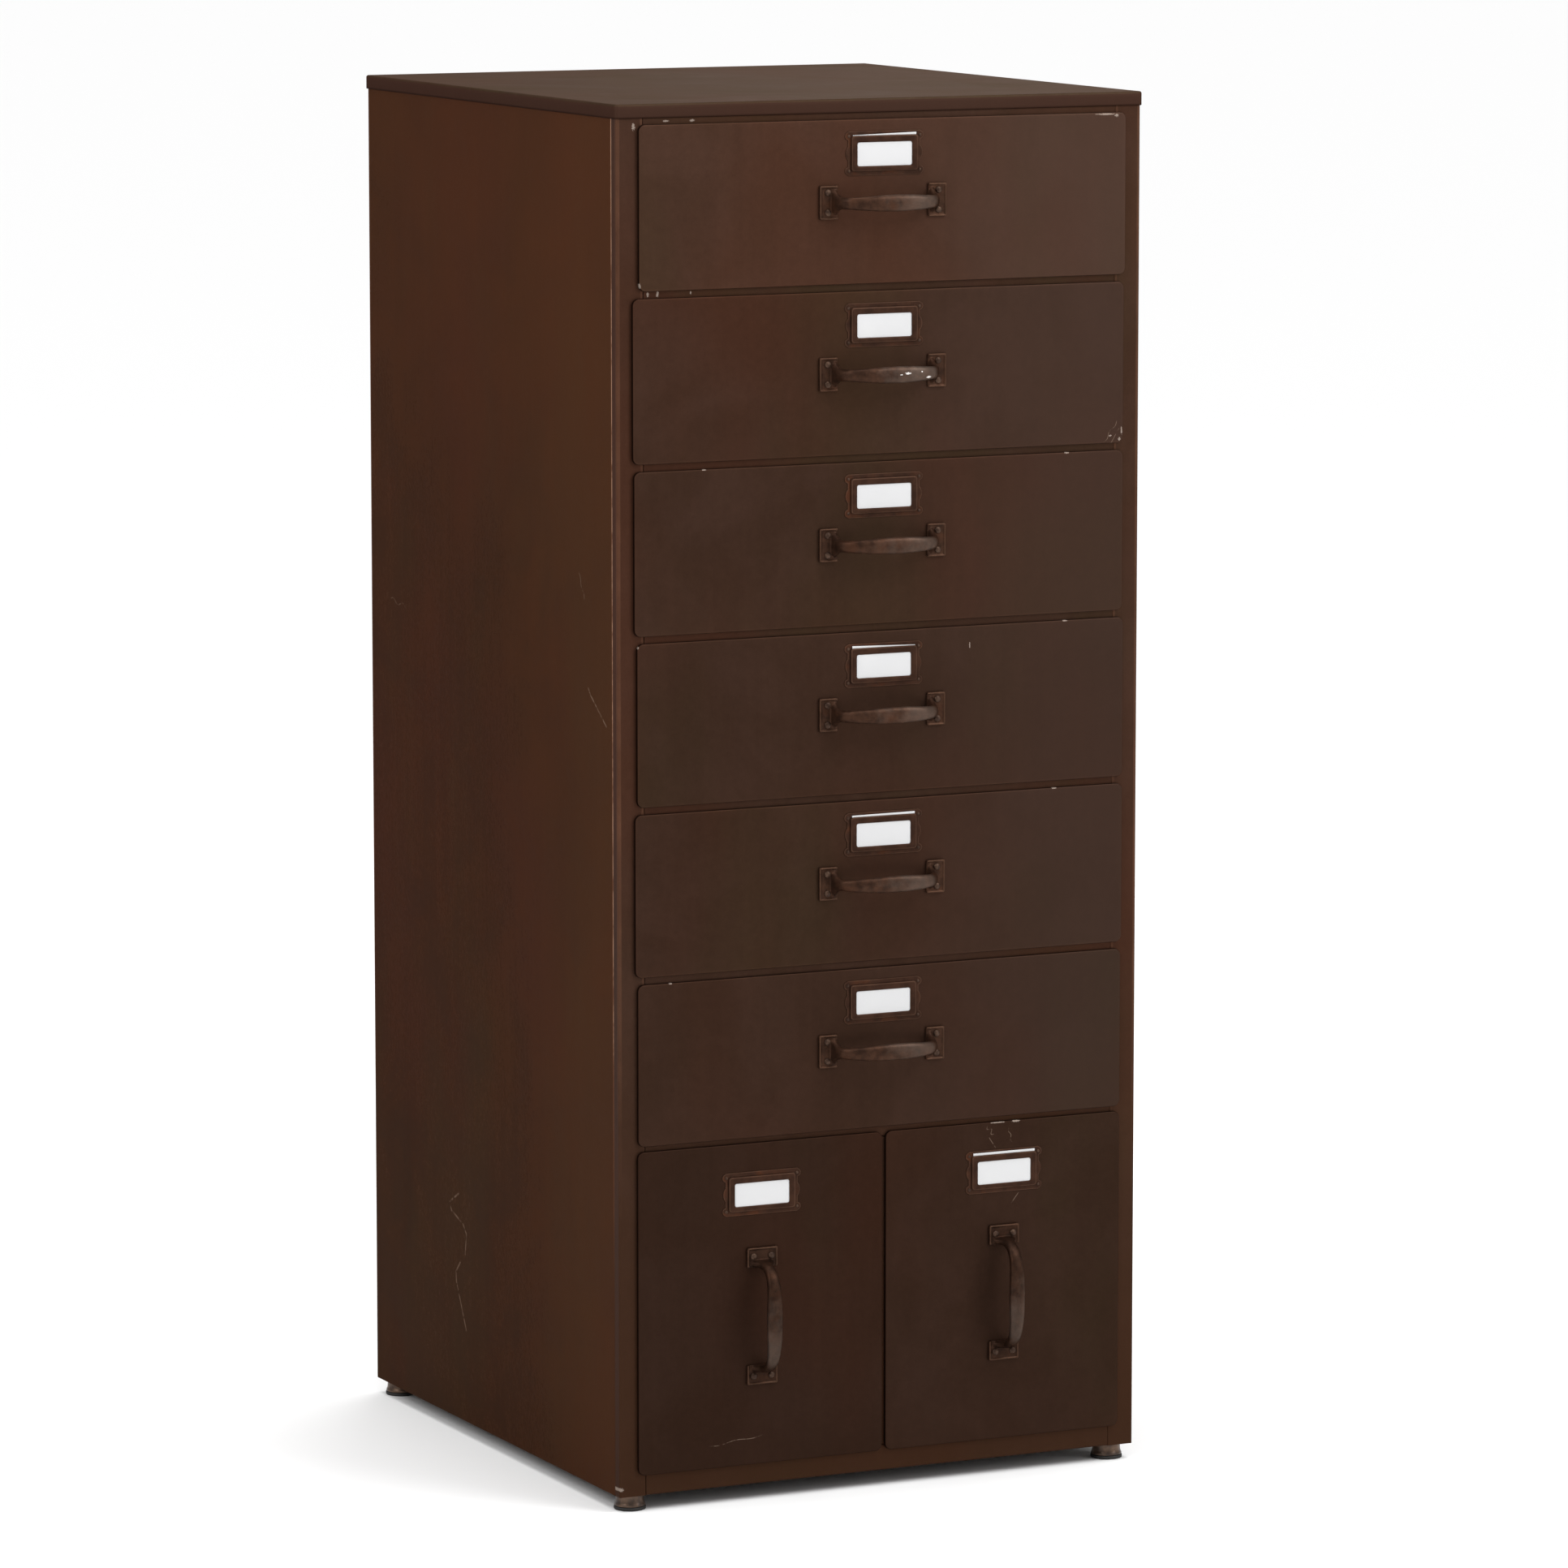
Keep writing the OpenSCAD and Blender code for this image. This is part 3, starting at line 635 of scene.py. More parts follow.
def fade(u, v, size, over):
    """0 at a panel's rim, 1 further in than over."""
    near = min(size[0] / 2 - abs(u), size[1] / 2 - abs(v))
    t = min(1, max(0, near / over))
    return t * t * (3 - 2 * t)


def soften_sheet(node):
    """Softens a carried-over CAD sheet's edges without touching its mesh."""
    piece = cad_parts[node]
    weld = piece.modifiers.new("weld", "WELD")
    weld.merge_threshold = 0.002 * MM
    flat = piece.modifiers.new("flat", "DECIMATE")
    flat.decimate_type = "DISSOLVE"
    flat.angle_limit = math.radians(1)
    round_edges = piece.modifiers.new("round_edges", "BEVEL")
    round_edges.width = EDGE_ROUND
    round_edges.segments = 2
    round_edges.limit_method = "ANGLE"
    round_edges.angle_limit = math.radians(40)
    piece.modifiers.new("normals", "WEIGHTED_NORMAL")


def repaint(node, material):
    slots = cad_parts[node].material_slots
    for slot in slots:
        slot.link = "OBJECT"
        slot.material = material


# ---------------------------------------------------------------- carcass

def lid(material):
    low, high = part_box("top_lid")
    size = (high.x - low.x, high.y - low.y)
    centre = (low + high) / 2
    lip = high.z - low.z
    wave = waviness(4.2, 0.7 * MM, 0.22)

    def place(u, v, height):
        dip = min(0, wave(u, v) - 0.3 * MM) * fade(u, v, size, 70 * MM)
        return Vector((centre.x + u, centre.y + v, low.z + height + dip))

    # Below 0 the profile paints shade on the lid's lip: most along its lower edge, fading up its face.
    profile = [(SHEET + 0.8 * MM, lip - SHEET, 0), (SHEET, lip - SHEET - 0.8 * MM, 0),
               (SHEET, 0.3 * MM, -0.8), (0.7 * SHEET, 0, -0.8), (0.3 * SHEET, 0, -0.8),
               (0, 0.4 * MM, -0.5), (0, 2 * MM, -0.2), (0, lip - 4 * MM, -0.15)]
    profile += bend(0, lip, 2.0 * MM, wear_and_shade=0.16)
    profile += [(LID_R, lip, 0)]
    bm = new_bm()
    panel(bm, size, LID_R, profile, (46, 50), place)
    put_piece(bm, "lid", "carcass", material, "lid_paint", ["top_lid"])


def side_panel(name, node, sign, material):
    """Folded side sheet, from its joint with the stile back to the rear flange."""
    low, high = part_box(node)
    inner = 15 * MM - SHEET / 2
    wave = waviness(7.7 * sign, 1.0 * MM, 0.34)
    path = [(SHEET / 2, low.y), (SHEET / 2, high.y - SHEET / 2), (inner, high.y - SHEET / 2)]
    outline = folded(path, SHEET, 1.6 * MM, step=24 * MM, wear_and_shade=(1, 0.5, 0))
    size = (high.y - low.y, high.z - low.z)

    def place(a, b, c):
        v, u = c - (low.z + high.z) / 2, b - (low.y + high.y) / 2
        bulge = wave(u, v) * fade(u, v, size, 60 * MM)
        return Vector((sign * (SIDE_X - a + bulge), b, c))

    stations = [low.z, low.z + 2 * MM] + steps(low.z + 6 * MM, high.z - 6 * MM, 60) + [high.z]
    bm = new_bm()
    extrude(bm, outline, stations, place)
    put_piece(bm, name, "carcass", material, "side_paint", [node])


def stiles(material):
    low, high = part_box("front_stiles")
    half = SHEET / 2
    bm = new_bm()
    for sign in (-1, 1):
        place = lambda a, b, c: Vector((sign * (SIDE_X - a), FRONT_Y + b, c))
        path = [(half, RAIL_DEPTH - 0.15 * MM), (half, half), (STILE_W - half, half),
                (STILE_W - half, 2 * RAIL_DEPTH)]
        stations = [low.z, low.z + 3 * MM] + steps(low.z + 20 * MM, high.z - 20 * MM, 40) + [high.z]
        extrude(bm, folded(path, SHEET, 0.8 * MM, wear_and_shade=(0.15, 0.42, 0)), stations, place)
        lap = [(1.5 * SHEET, RAIL_DEPTH - 1.5 * MM), (1.5 * SHEET, 24.5 * MM)]
        extrude(bm, folded(lap, SHEET, MM, wear_and_shade=(0, 0, 0)), [low.z, high.z], place)
    put_piece(bm, "stiles", "carcass", material, "frame_paint", ["front_stiles"])


def channel(width):
    """Outline of a rail's C section: two legs behind a face of that width."""
    half = SHEET / 2
    path = [(half, RAIL_DEPTH), (half, half), (width - half, half), (width - half, RAIL_DEPTH)]
    return folded(path, SHEET, 1.2 * MM, wear_and_shade=(0, 0.25, 0))


def rails(material):
    """Channels between the drawers, and the upright mullion between the deep pair."""
    tops = [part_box(f"drawer_{i}_front")[1].z for i in DRAWERS]
    bottoms = [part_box(f"drawer_{i}_front")[0].z for i in DRAWERS]
    spans = [(tops[0] - LAP, TOP_Z - SHEET)]
    spans += [(tops[i] - LAP, bottoms[i - 1] + LAP) for i in range(1, 7)]
    spans += [(BASE_Z, bottoms[6] + LAP)]
    open_x = SIDE_X - STILE_W
    bm = new_bm()
    for low, high in spans:
        place = lambda a, b, c: Vector((c, FRONT_Y + b, low + a))
        extrude(bm, channel(high - low), steps(-open_x, open_x, 24), place)
    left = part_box("drawer_7_tray")[1].x + 1.5 * MM
    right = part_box("drawer_8_tray")[0].x - 1.5 * MM
    place = lambda a, b, c: Vector((left + a, FRONT_Y + b, c))
    ends = steps(spans[-1][1] + 0.1 * MM, spans[-2][0] - 0.1 * MM, 12)
    extrude(bm, channel(right - left), ends, place)
    put_piece(bm, "rails", "carcass", material, "frame_paint", ["front_rails"])


def runners(material):
    """Angle shelves under the trays, with rounded folds."""
    low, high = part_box("drawer_runners")
    inner_x = SIDE_X - SHEET
    thick, lip, reach = 1.5 * MM, 14 * MM, 16 * MM
    bm = new_bm()
    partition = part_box("centre_partition")
    for i in DRAWERS:
        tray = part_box(f"drawer_{i}_tray")
        shelf = tray[0].z - 0.1 * MM
        walls = ((partition[1].x if i == 8 else -inner_x, tray[0].x + reach, 1),
                 (partition[0].x if i == 7 else inner_x, tray[1].x - reach, -1))
        for wall, tip, sign in walls:
            path = [(thick / 2, -lip), (thick / 2, -thick / 2), (abs(tip - wall), -thick / 2)]
            place = lambda a, b, c: Vector((wall + sign * a, c, shelf + b))
            extrude(bm, folded(path, thick, 1.2 * MM), [low.y, high.y], place)
    put_piece(bm, "runners", "carcass", material, "runner_steel", ["drawer_runners"])


def feet(metal, rubber):
    height = BASE_Z
    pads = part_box("foot_pads")
    radius = 14 * MM
    xs = (pads[0].x + radius, pads[1].x - radius)
    ys = (pads[0].y + radius, pads[1].y - radius)
    pad_top = pads[1].z
    cap = [(4 * MM, pad_top), (radius - 1.2 * MM, pad_top), (radius - 0.5 * MM, pad_top + 0.4 * MM),
           (radius - 0.3 * MM, pad_top + 1.2 * MM), (radius - 0.9 * MM, pad_top + 2.6 * MM),
           (radius - 1.5 * MM, pad_top + 4.4 * MM), (radius - 1.8 * MM, height - 2 * MM),
           (radius - 1.6 * MM, height - 0.6 * MM), (radius - 2 * MM, height), (4 * MM, height),
           (4 * MM, height + 12 * MM), (3.3 * MM, height + 13 * MM)]
    pad = [(radius - 0.9 * MM, 0), (radius - 0.2 * MM, 0.3 * MM), (radius, 0.9 * MM),
           (radius, pad_top - 0.7 * MM), (radius - 0.3 * MM, pad_top - 0.1 * MM), (radius - MM, pad_top)]
    for name, node, profile, material, slot in (("foot_caps", "feet", cap, metal, "foot_metal"),
                                                ("floor_pads", "foot_pads", pad, rubber, "foot_rubber")):
        bm = new_bm()
        for x in xs:
            for y in ys:
                lathe(bm, profile, lambda a, b, c: Vector((x + a, y + b, c)))
        put_piece(bm, name, "carcass", material, slot, [node], crease=50)


# ---------------------------------------------------------------- drawers

def drawer_front(i, material):
    low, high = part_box(f"drawer_{i}_front")
    size = (high.x - low.x, high.z - low.z)
    centre = (low + high) / 2
    depth = high.y - low.y
    wave = waviness(1.3 * i, 0.5 * MM, 0.15)

    def place(u, v, height):
        bulge = wave(u, v) * fade(u, v, size, 45 * MM)
        return Vector((centre.x + u, high.y - height - bulge, centre.z + v))

    # Below 0 the profile paints shade: on the front's side walls and the start of its rim bend, as the dark
    # gap round each front.
    profile = [(SHEET + 0.6 * MM, depth - SHEET, 0), (SHEET, depth - SHEET - 0.6 * MM, 0),
               (SHEET, 0.2 * MM, -1), (0.7 * SHEET, 0, -1), (0.3 * SHEET, 0, -1), (0, 0.3 * MM, -1),
               (0, depth - 1.6 * MM, -1)]
    rim = bend(0, depth, 1.2 * MM, 6, 0.22)
    profile += [(inset, height, -0.7) for inset, height, _ in rim[:3]] + rim[3:]
    profile += [(3.4 * MM, depth, 0), (FRONT_R, depth, 0)]
    bm = new_bm()
    panel(bm, size, FRONT_R, profile, (44, 14) if i in WIDE_DRAWERS else (24, 28), place)
    put_piece(bm, f"front_{i}", f"drawer_{i}", material, "front_paint", [f"drawer_{i}_front"])


def tray(i, material):
    """Folded tray: a U of sheet with hemmed top edges, a back and an inner front, and two stop tabs."""
    low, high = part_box(f"drawer_{i}_tray")
    top = high.z - TAB_H
    t = TRAY_SHEET
    hem = 7 * MM
    half = t / 2
    bm = new_bm()
    in_left, in_right = low.x + half, high.x - half
    path = [(in_left + 1.1 * t, top - hem), (in_left + 1.1 * t, top - half), (in_left, top - half),
            (in_left, low.z + half), (in_right, low.z + half), (in_right, top - half),
            (in_right - 1.1 * t, top - half), (in_right - 1.1 * t, top - hem)]
    ends = steps(low.y + t + 0.1 * MM, high.y - t - 0.1 * MM, 16)
    extrude(bm, folded(path, t, 0.52 * t, arc=4), ends, lambda a, b, c: Vector((a, c, b)))
    for y, sign in ((low.y, 1), (high.y, -1)):
        wall = [(half, low.z + 0.4 * MM), (half, top - half), (half + 1.1 * t, top - half),
                (half + 1.1 * t, top - hem)]
        place = lambda a, b, c: Vector((c, y + sign * a, b))
        inset = 2.4 * t
        extrude(bm, folded(wall, t, 0.52 * t, arc=4), steps(low.x + inset, high.x - inset, 12), place)
        plain = [(half, low.z + 0.4 * MM), (half, top)]
        extrude(bm, folded(plain, t, MM), [low.x, low.x + inset], place)
        extrude(bm, folded(plain, t, MM), [high.x - inset, high.x], place)
    tab_y = FRONT_Y + RAIL_DEPTH + TRAVEL + 0.5 * MM
    r = 2.5 * MM
    tab = [(tab_y, top - 4 * MM), (tab_y + TAB_L, top - 4 * MM)]
    for k in range(5):
        a = k / 4 * math.pi / 2
        tab.append((tab_y + TAB_L - r + r * math.cos(a), high.z - r + r * math.sin(a)))
    for k in range(5):
        a = math.pi / 2 + k / 4 * math.pi / 2
        tab.append((tab_y + r + r * math.cos(a), high.z - r + r * math.sin(a)))
    for x in (low.x + 0.05 * MM, high.x - t + 0.05 * MM):
        extrude(bm, [(a, b, 0) for a, b in tab], [x, x + 0.9 * t], lambda a, b, c: Vector((c, a, b)))
    put_piece(bm, f"tray_{i}", f"drawer_{i}", material, "inner_paint", [f"drawer_{i}_tray"])


# Bow of the grip, as the CAD draws it
GRIP_OUT = 31 * MM
HANDLE_L = 121 * MM
BOW_X = HANDLE_L / 2 - PLATE_L + 3.2 * MM
BOW_Y = GRIP_OUT - 3.8 * MM


def signed_power(value, power):
    return math.copysign(abs(value) ** power, value)


def bow(angle):
    return Vector((BOW_X * signed_power(math.cos(angle), 0.5), BOW_Y * max(0, math.sin(angle)) ** 0.8))


def grip_section(angle, sides):
    """One ring of the grip, with a flattened back, round its bow at that angle."""
    p = bow(angle)
    ahead, behind = bow(angle + 0.004), bow(angle - 0.004)
    normal = Vector((ahead.y - behind.y, behind.x - ahead.x)).normalized()
    middle = max(0, math.cos(math.pi / 2 * p.x / BOW_X)) ** 1.5
    root = max(0, 1 - p.y / (15 * MM))
    half_w = (5.1 + 2.2 * middle) * MM + 8.4 * MM * root ** 2
    half_t = lerp(3.0, 3.8, min(1, p.y / (15 * MM))) * MM + 0.9 * MM * max(0, 1 - p.y / (6 * MM)) ** 2
    ring = []
    for k in range(sides):
        a = math.tau * k / sides
        out = half_t * signed_power(math.cos(a), 0.8) * (1 if math.cos(a) > 0 else 0.92)
        across = half_w * signed_power(math.sin(a), 0.8)
        ring.append(Vector((p.x + normal.x * out, -(p.y + normal.y * out), across)))
    return ring


def slab(bm, x, y, z, r=0.5 * MM):
    """A block with rounded edges."""
    size = (x[1] - x[0], z[1] - z[0])
    deep = y[1] - y[0]
    place = lambda u, v, h: Vector(((x[0] + x[1]) / 2 + u, y[1] - h, (z[0] + z[1]) / 2 + v))
    profile = [(r, 0, 0), (r * 0.3, 0, 0), (0, r * 0.5, 0), (0, deep - r, 0)] + bend(0, deep, r, 3, 0)[1:]
    panel(bm, size, r, profile, (1, 1), place, arc=3)


def master_handle():
    """The cast handle as one skin: grip and rimmed plates, fused and softened. It stands out of y = 0."""
    bm = new_bm()
    turns, sides = 72, 28
    start = math.radians(1.0)
    rings = [add_ring(bm, grip_section(angle, sides)) for angle in steps(start, math.pi - start, turns)]
    for a, b in zip(rings, rings[1:]):
        join_rings(bm, a, b)
    bm.faces.new(rings[0])
    bm.faces.new(list(reversed(rings[-1])))
    rim = 1.7 * MM
    half_w = PLATE_W / 2
    for sign in (-1, 1):
        outer, inner = sign * HANDLE_L / 2, sign * (HANDLE_L / 2 - PLATE_L)
        edge = outer - sign * rim
        slab(bm, sorted((inner, outer)), (-PLATE_SEAT, 0), (-half_w, half_w), 0.6 * MM)
        slab(bm, sorted((edge, outer)), (-PLATE_T, -0.5 * MM), (-half_w, half_w), 0.6 * MM)
        for low, high in ((-half_w, rim - half_w), (half_w - rim, half_w)):
            slab(bm, sorted((inner, outer)), (-PLATE_T, -0.5 * MM), (low, high), 0.6 * MM)
    bmesh.ops.recalc_face_normals(bm, faces=bm.faces)
    mesh = bpy.data.meshes.new("casting")
    bm.to_mesh(mesh)
    bm.free()
    return fuse(mesh, 0.5 * MM)


def fuse(mesh, voxel):
    """Voxel-remeshes a mesh of overlapping solids into one skin."""
    rough = bpy.data.objects.new("rough", mesh)
    bpy.context.collection.objects.link(rough)
    remesh = rough.modifiers.new("remesh", "REMESH")
    remesh.mode = "VOXEL"
    remesh.voxel_size = voxel
    skin = bpy.data.meshes.new_from_object(rough.evaluated_get(bpy.context.evaluated_depsgraph_get()))
    bpy.data.objects.remove(rough)
    return skin


def soften_casting(mesh):
    """Rounds the fused casting's corners, makes it a little uneven, and marks where it is rubbed and worn."""
    bm = bmesh.new()
    bm.from_mesh(mesh)
    for _ in range(3):
        bmesh.ops.smooth_vert(bm, verts=bm.verts, factor=0.5,
                              use_axis_x=True, use_axis_y=True, use_axis_z=True)
    bm.normal_update()
    rub = bm.verts.layers.float.new("rub")
    wear_and_shade = bm.verts.layers.float.new("wear_and_shade")
    for vert in bm.verts:
        p = vert.co.copy()
        cast = 0.10 * noise.noise(p * 260) + 0.10 * noise.noise(p * 90 + Vector((5, 0, 0)))
        vert.co += vert.normal * cast * MM
        vert.co.y = min(0, max(-GRIP_OUT, vert.co.y))
        out = min(1, max(0, (-p.y - 14 * MM) / (12 * MM)))
        vert[rub] = out * lerp(0.55, 1.0, min(1, max(0, 0.5 + p.x / (50 * MM))))
        on_rim = max(abs(p.z) - PLATE_W / 2 + 1.9 * MM, abs(p.x) - HANDLE_L / 2 + 1.9 * MM) > 0
        vert[wear_and_shade] = 1.0 if on_rim and -p.y > PLATE_T - 0.8 * MM and abs(p.x) > BOW_X - 4 * MM else 0.0
    for face in bm.faces:
        face.smooth = True
    bm.to_mesh(mesh)
    bm.free()
    return mesh


def handle_frame(i):
    """Where drawer i's handle stands: its middle on the front's face, turned upright on a deep drawer."""
    low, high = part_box(f"drawer_{i}_handle")
    middle = Vector(((low.x + high.x) / 2, high.y, (low.z + high.z) / 2))
    turn = Matrix.Rotation(math.pi / 2, 4, "Y") if high.z - low.z > high.x - low.x else Matrix.Identity(4)
    return Matrix.Translation(middle) @ turn


def handle(i, master, material):
    mesh = master.copy()
    mesh.name = f"pull_{i}"
    mesh.transform(handle_frame(i))
    put_mesh(mesh, f"pull_{i}", f"drawer_{i}", material, "handle_iron", [f"drawer_{i}_handle"])


def dome_profile(radius, height, seat):
    """Lathe points of a domed head on a small straight edge."""
    points = [(radius, seat), (radius, seat + 0.25 * height)]
    for k in range(1, 7):
        a = k / 7 * math.pi / 2
        points.append((radius * math.cos(a) ** 0.9, seat + height * (0.25 + 0.75 * math.sin(a))))
    return points + [(0.1 * radius, seat + height)]


def fasteners(i, material):
    """Domed screws with their nuts, and the holder's four small pins."""
    bm = new_bm()
    where = handle_frame(i)
    screw_x = HANDLE_L / 2 - SCREW_INSET
    inside = SHEET + TRAY_SHEET
    for x in (-screw_x, screw_x):
        for z in (-SCREW_PITCH / 2, SCREW_PITCH / 2):
            place = lambda a, b, c: where @ Vector((x + a, -c, z + b))
            lathe(bm, dome_profile(2.9 * MM, 1.9 * MM, PLATE_SEAT), place, 28)
            shank = [(1.9 * MM, -inside - 4.2 * MM), (2 * MM, -inside - 3.8 * MM), (2 * MM, PLATE_SEAT)]
            lathe(bm, shank, place, 20)
            nut = [(3.7 * MM, -inside - 3.2 * MM), (4.04 * MM, -inside - 2.9 * MM), (4.04 * MM, -inside)]
            lathe(bm, nut, place, 6)
    low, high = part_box(f"drawer_{i}_label_holder")
    middle = (low + high) / 2
    pin_x = WINDOW[0] / 2 + BORDER[0] + 2 * MM
    pin_z = WINDOW[1] / 2 + BORDER[1] - 0.5 * MM
    for x in (-pin_x, pin_x):
        for z in (-pin_z, pin_z):
            place = lambda a, b, c: Vector((middle.x + x + a, high.y - c, middle.z + z + b))
            lathe(bm, dome_profile(1.3 * MM, 0.7 * MM, HOLDER_T), place, 20)
            lathe(bm, [(0.8 * MM, -SHEET), (0.8 * MM, HOLDER_T)], place, 12)
    put_piece(bm, f"fixings_{i}", f"drawer_{i}", material, "screw_steel", [f"drawer_{i}_fasteners"],
              crease=45)


def flange_reach(angle, half_w, half_h, pins, ears, lobe):
    """How far the flange reaches from its middle at an angle: a plate with an ear at each pin, and two lobes
    at its sides."""
    way = Vector((math.cos(angle), math.sin(angle)))
    best = min(half_w / max(1e-6, abs(way.x)), half_h / max(1e-6, abs(way.y)))
    discs = [(Vector((sx * pins[0], sz * pins[1])), ears) for sx in (-1, 1) for sz in (-1, 1)]
    discs += [(Vector((sx * lobe[0], 0)), lobe[1]) for sx in (-1, 1)]
    for centre, radius in discs:
        along = centre.dot(way)
        gap = radius ** 2 - (centre.length_squared - along ** 2)
        if along > 0 and gap > 0:
            best = max(best, along + math.sqrt(gap))
    return best


def label_holder(i, material):
    """Stamped frame: an eared flange, and a raised border that is open at the top for the card."""
    low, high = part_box(f"drawer_{i}_label_holder")
    middle = (low + high) / 2
    tall = high.y - low.y
    outer = (WINDOW[0] + 2 * BORDER[0], WINDOW[1] + 2 * BORDER[1])
    place = lambda u, v, h: Vector((middle.x + u, high.y - h, middle.z + v))
    bm = new_bm("wear_and_shade", "flange")

    pins = (outer[0] / 2 + 2 * MM, outer[1] / 2 - 0.5 * MM)
    half = (outer[0] / 2 + 2.6 * MM, (high.z - low.z) / 2)
    lobe = (outer[0] / 2 - 4.2 * MM, 9 * MM)
    count = 480
    outline = []
    for k in range(count):
        a = math.tau * k / count
        reach = flange_reach(a, *half, pins, 3.6 * MM, lobe)
        outline.append(Vector((reach * math.cos(a), reach * math.sin(a))))
    rings = []
    edge = ((0.4, 0, 0), (0, 0.15, 0.6), (0, 0.5, 1), (0.15, 0.72, 1), (0.45, 0.8, 0.8), (1.6, 0.8, 0))
    for inset, height, wear_and_shade in edge:
        ring = []
        for k, p in enumerate(outline):
            along = outline[(k + 2) % count] - outline[k - 2]
            inward = Vector((-along.y, along.x)).normalized()
            q = p + inward * inset * MM
            ring.append(place(q.x, q.y, height * MM))
        rings.append(add_ring(bm, ring, wear_and_shade))
    for a, b in zip(rings, rings[1:]):
        join_rings(bm, a, b)
    bm.faces.new(list(reversed(rings[0])))
    bm.faces.new(rings[-1])
    mark = bm.verts.layers.float["flange"]
    for vert in bm.verts:
        vert[mark] = 1.0 if vert.co.x < middle.x else 0.4

    # Raised border: rings from its foot on the flange, over its crown, to the window and back underneath
    spans, arc = (10, 5), 6
    under = tall - HOLDER_T
    wall = 1.3 * MM

    def border_ring(share, radius, height, wear_and_shade=0.0):
        """A ring that share of the way from the border's outside to the window."""
        size = [outer[k] - 2 * share * BORDER[k] for k in (0, 1)]
        points = []
        for u, v in ring_of(size, radius, 0, spans, arc):
            over_slot = v > outer[1] / 2 - 0.45 * BORDER[1] and abs(u) < outer[0] / 2 - wall
            hollow = max(height, under + 0.05 * MM + 0.05 * height) if over_slot else height
            points.append(place(u, v - share * WINDOW_DROP, hollow))
        return add_ring(bm, points, wear_and_shade)

    over = [(0.04, 0.80, 0), (0.0, 1.1, 0), (0.0, 1.75, 0.2), (0.04, 2.15, 0.8), (0.14, 2.38, 1),
            (0.25, 2.4, 0.3), (0.72, 2.36, 0), (0.84, 2.26, 0.4), (0.95, 1.98, 0.6), (1.0, 1.7, 0),
            (0.96, 1.6, 0)]
    rings = [border_ring(share, lerp(2.4, 1.8, share) * MM, height * MM, wear_and_shade)
             for share, height, wear_and_shade in over]
    rings += [border_ring(0.28, 1.2 * MM, height * MM) for height in (1.6, 0.8)]
    for a, b in zip(rings, rings[1:] + rings[:1]):
        join_rings(bm, a, b)
    put_piece(bm, f"holder_{i}", f"drawer_{i}", material, "label_metal", [f"drawer_{i}_label_holder"])


def card(i, cuts, material):
    """A card with a slight curl, its top edge cut short by cuts at its left and right ends."""
    low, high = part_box(f"drawer_{i}_card")
    thick = 0.35 * MM
    seat = (low.y + high.y) / 2
    curl = waviness(2.2 * i, 0.06 * MM, 0.03)
    wide = (high.x - low.x) / 2
    middle = (low.x + high.x) / 2
    outline = [(x, -thick / 2, 0) for x in steps(low.x, high.x, 20)]
    outline += [(x, thick / 2, 0) for x in steps(high.x, low.x, 20)]

    def place(a, b, c):
        cut = lerp(*cuts, (a - middle) / wide / 2 + 0.5)
        return Vector((a, seat + b + curl(a, c), lerp(low.z, high.z - cut, c)))

    bm = new_bm()
    extrude(bm, outline, steps(0, 1, 8), place)
    put_piece(bm, f"card_{i}", f"card_{i}", material, "card_white", [f"drawer_{i}_card"])


# ---------------------------------------------------------------- assembly

def fixed_finishes():
    """Finishes for the carried-over CAD sheets."""
    repaint("back_panel", aged_iron("back_paint", 3.4, warmth=0.35, olive=0.3, wear=0))
    inner = inner_paint()
    for node in ("bottom_panel", "centre_partition"):
        repaint(node, inner)
        soften_sheet(node)
    soften_sheet("back_panel")
    screws = screw_metal()
    repaint("carcass_fasteners", screws)
    return inner, screws


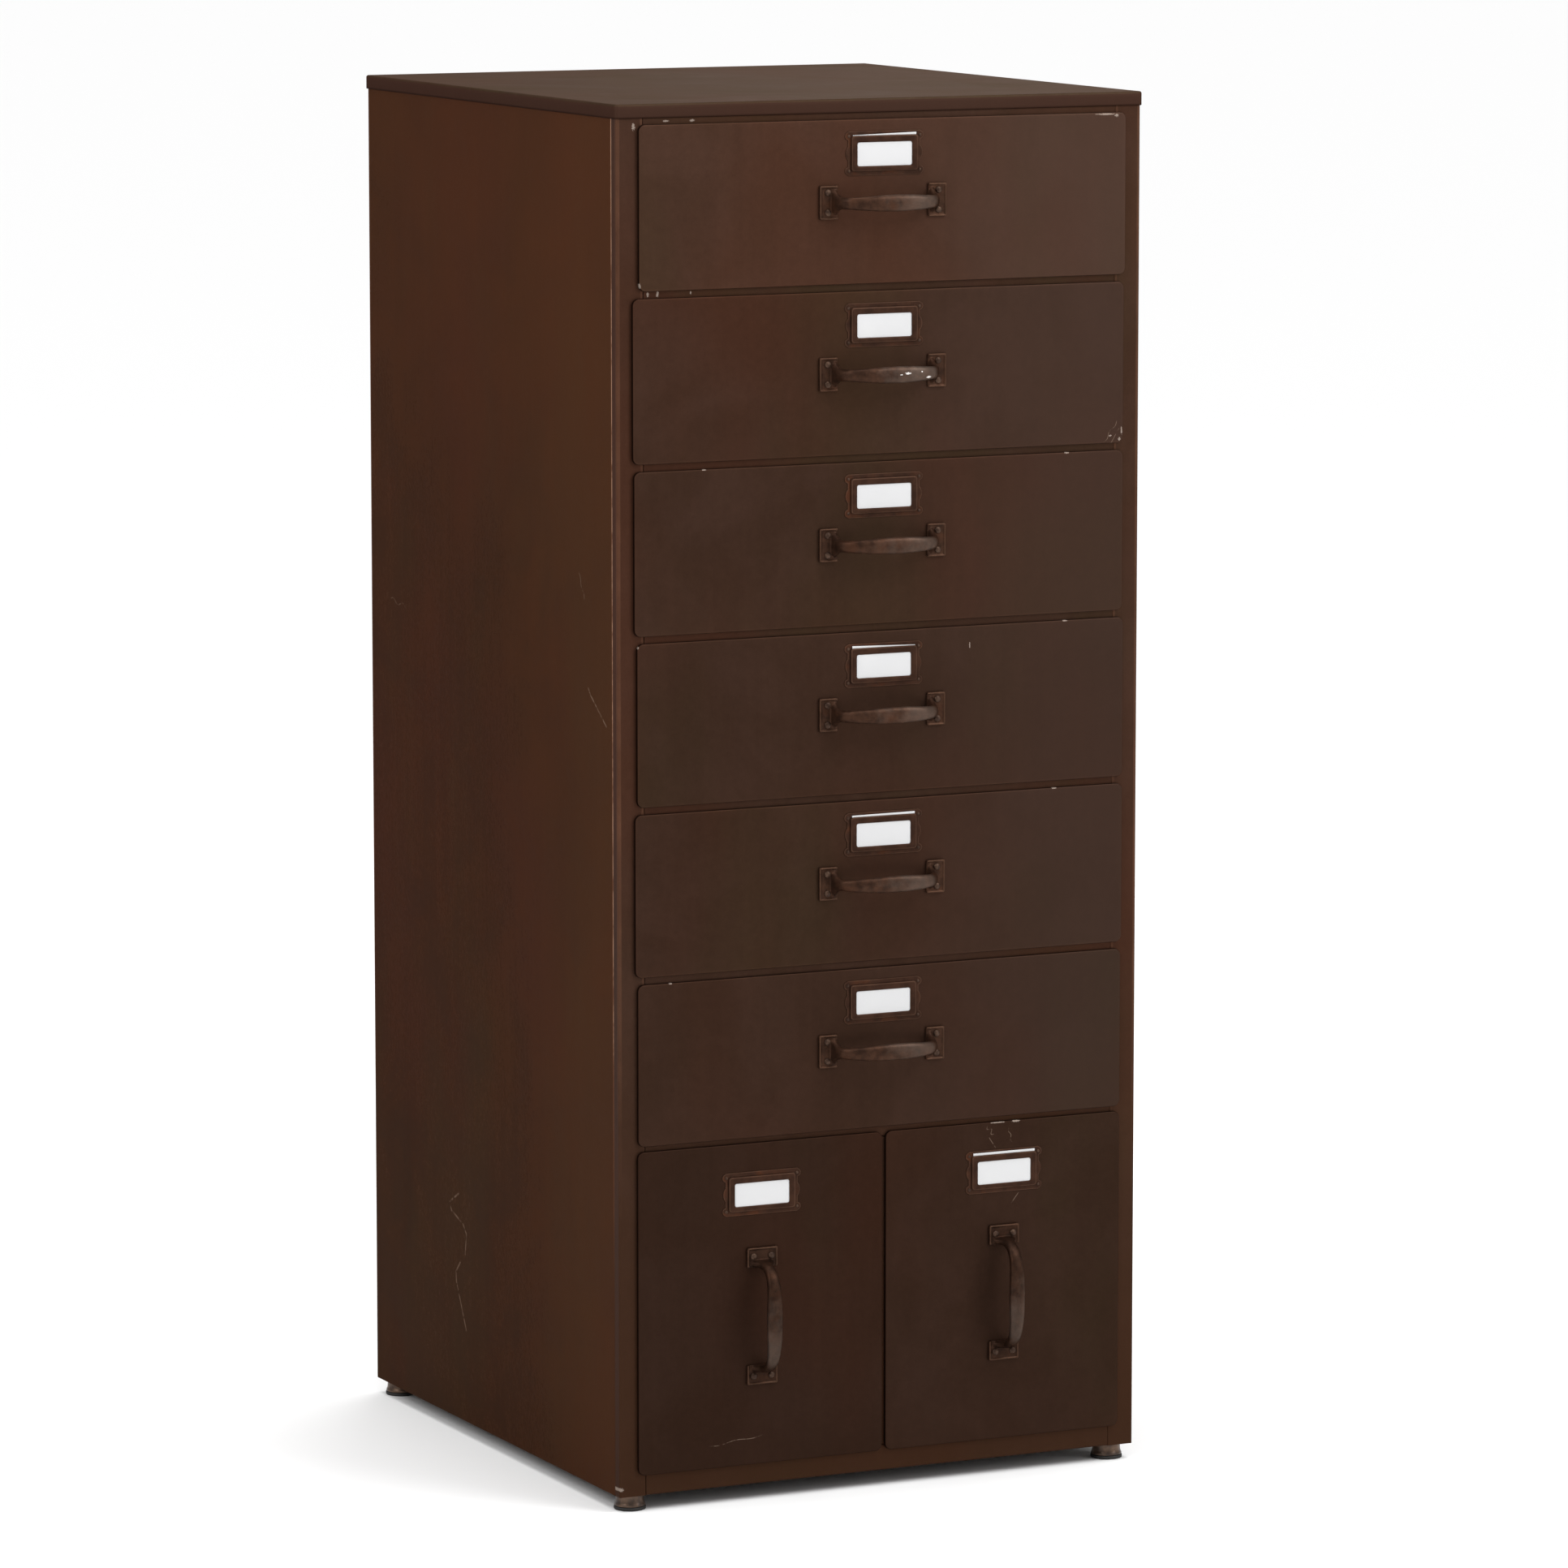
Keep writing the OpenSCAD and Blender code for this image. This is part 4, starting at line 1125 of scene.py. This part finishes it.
def build():
    make_camera()
    make_stage()
    inner, screws = fixed_finishes()

    # Lid: painted sheen on its top face; the ramp takes the lip back to LIP_RED.
    lid(aged_iron("lid_paint", 1.1, light=LID_SHEEN_LIGHT, dark=LID_SHEEN_DARK, warmth=0.2,
                  olive=0.5, rough=0.6, gloss=0.02, tint=(0.40, 0.29, 0.19, 1), plane="XY",
                  ramps=[("Z", TOP_Z - MM, TOP_Z - 2.5 * MM, 0.8, LIP_RED)]))
    sides = (("left", -1, 2.2, 0.65, SIDE_SCRATCHES), ("right", 1, 8.6, 0.6, ()))
    for side, sign, seed, warmth, scratches in sides:
        paint = aged_iron(f"side_paint_{side}", seed, light=SIDE_LIGHT, dark=SIDE_DARK, gloss=0.02,
                          tint=SIDE_TINT, warmth=warmth, ramps=SIDE_PAINTED_LIGHT_RAMPS, plane="YZ", scratches=scratches)
        side_panel(f"side_{side}", f"{side}_side_panel", sign, paint)
    frame_paint = aged_iron("frame_paint", 4.7, tone=0.92, olive=0.45, gloss=0.1, chips=FRAME_CHIPS,
                            ramps=FRAME_SHADE_RAMPS)
    stiles(frame_paint)
    rails(frame_paint)
    runners(runner_steel())
    feet(foot_metal(), pad_rubber())

    master = soften_casting(master_handle())
    paper = card_paper()
    for i in DRAWERS:
        wide = i in WIDE_DRAWERS
        chips, scratches = FRONT_MARKS[i]
        low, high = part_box(f"drawer_{i}_front")
        middle = [(low[k] + high[k]) / 2 / MM for k in (0, 2)]
        # tone darkens the lower fronts as painted shade; the wide fronts also get a painted sheen towards
        # their right.
        paint = aged_iron(f"front_paint_{i}", 10 + 1.37 * i, tone=FRONT_SHADE_TONES[i - 1], gloss=0.1, chips=chips,
                          scratches=scratches, middle=middle, ramps=FRONT_SHEEN_RAMPS if wide else ())
        drawer_front(i, paint)
        tray(i, inner)
        # The deep drawers' handles get a lower tone: painted shade, darker low down as on their fronts.
        iron = cast_iron(f"handle_iron_{i}", 20 + 2.1 * i, grey=0.5 if i == 2 else 0.35,
                         tone=0.72 if wide else 0.5, flecks=GRIP_FLECKS if i == 2 else ())
        handle(i, master, iron)
        fasteners(i, screws)
        label_holder(i, holder_metal(f"label_metal_{i}", 30 + 1.9 * i))
        card(i, [cut * MM for cut in CARD_CUTS[i - 1]], paper)


build()
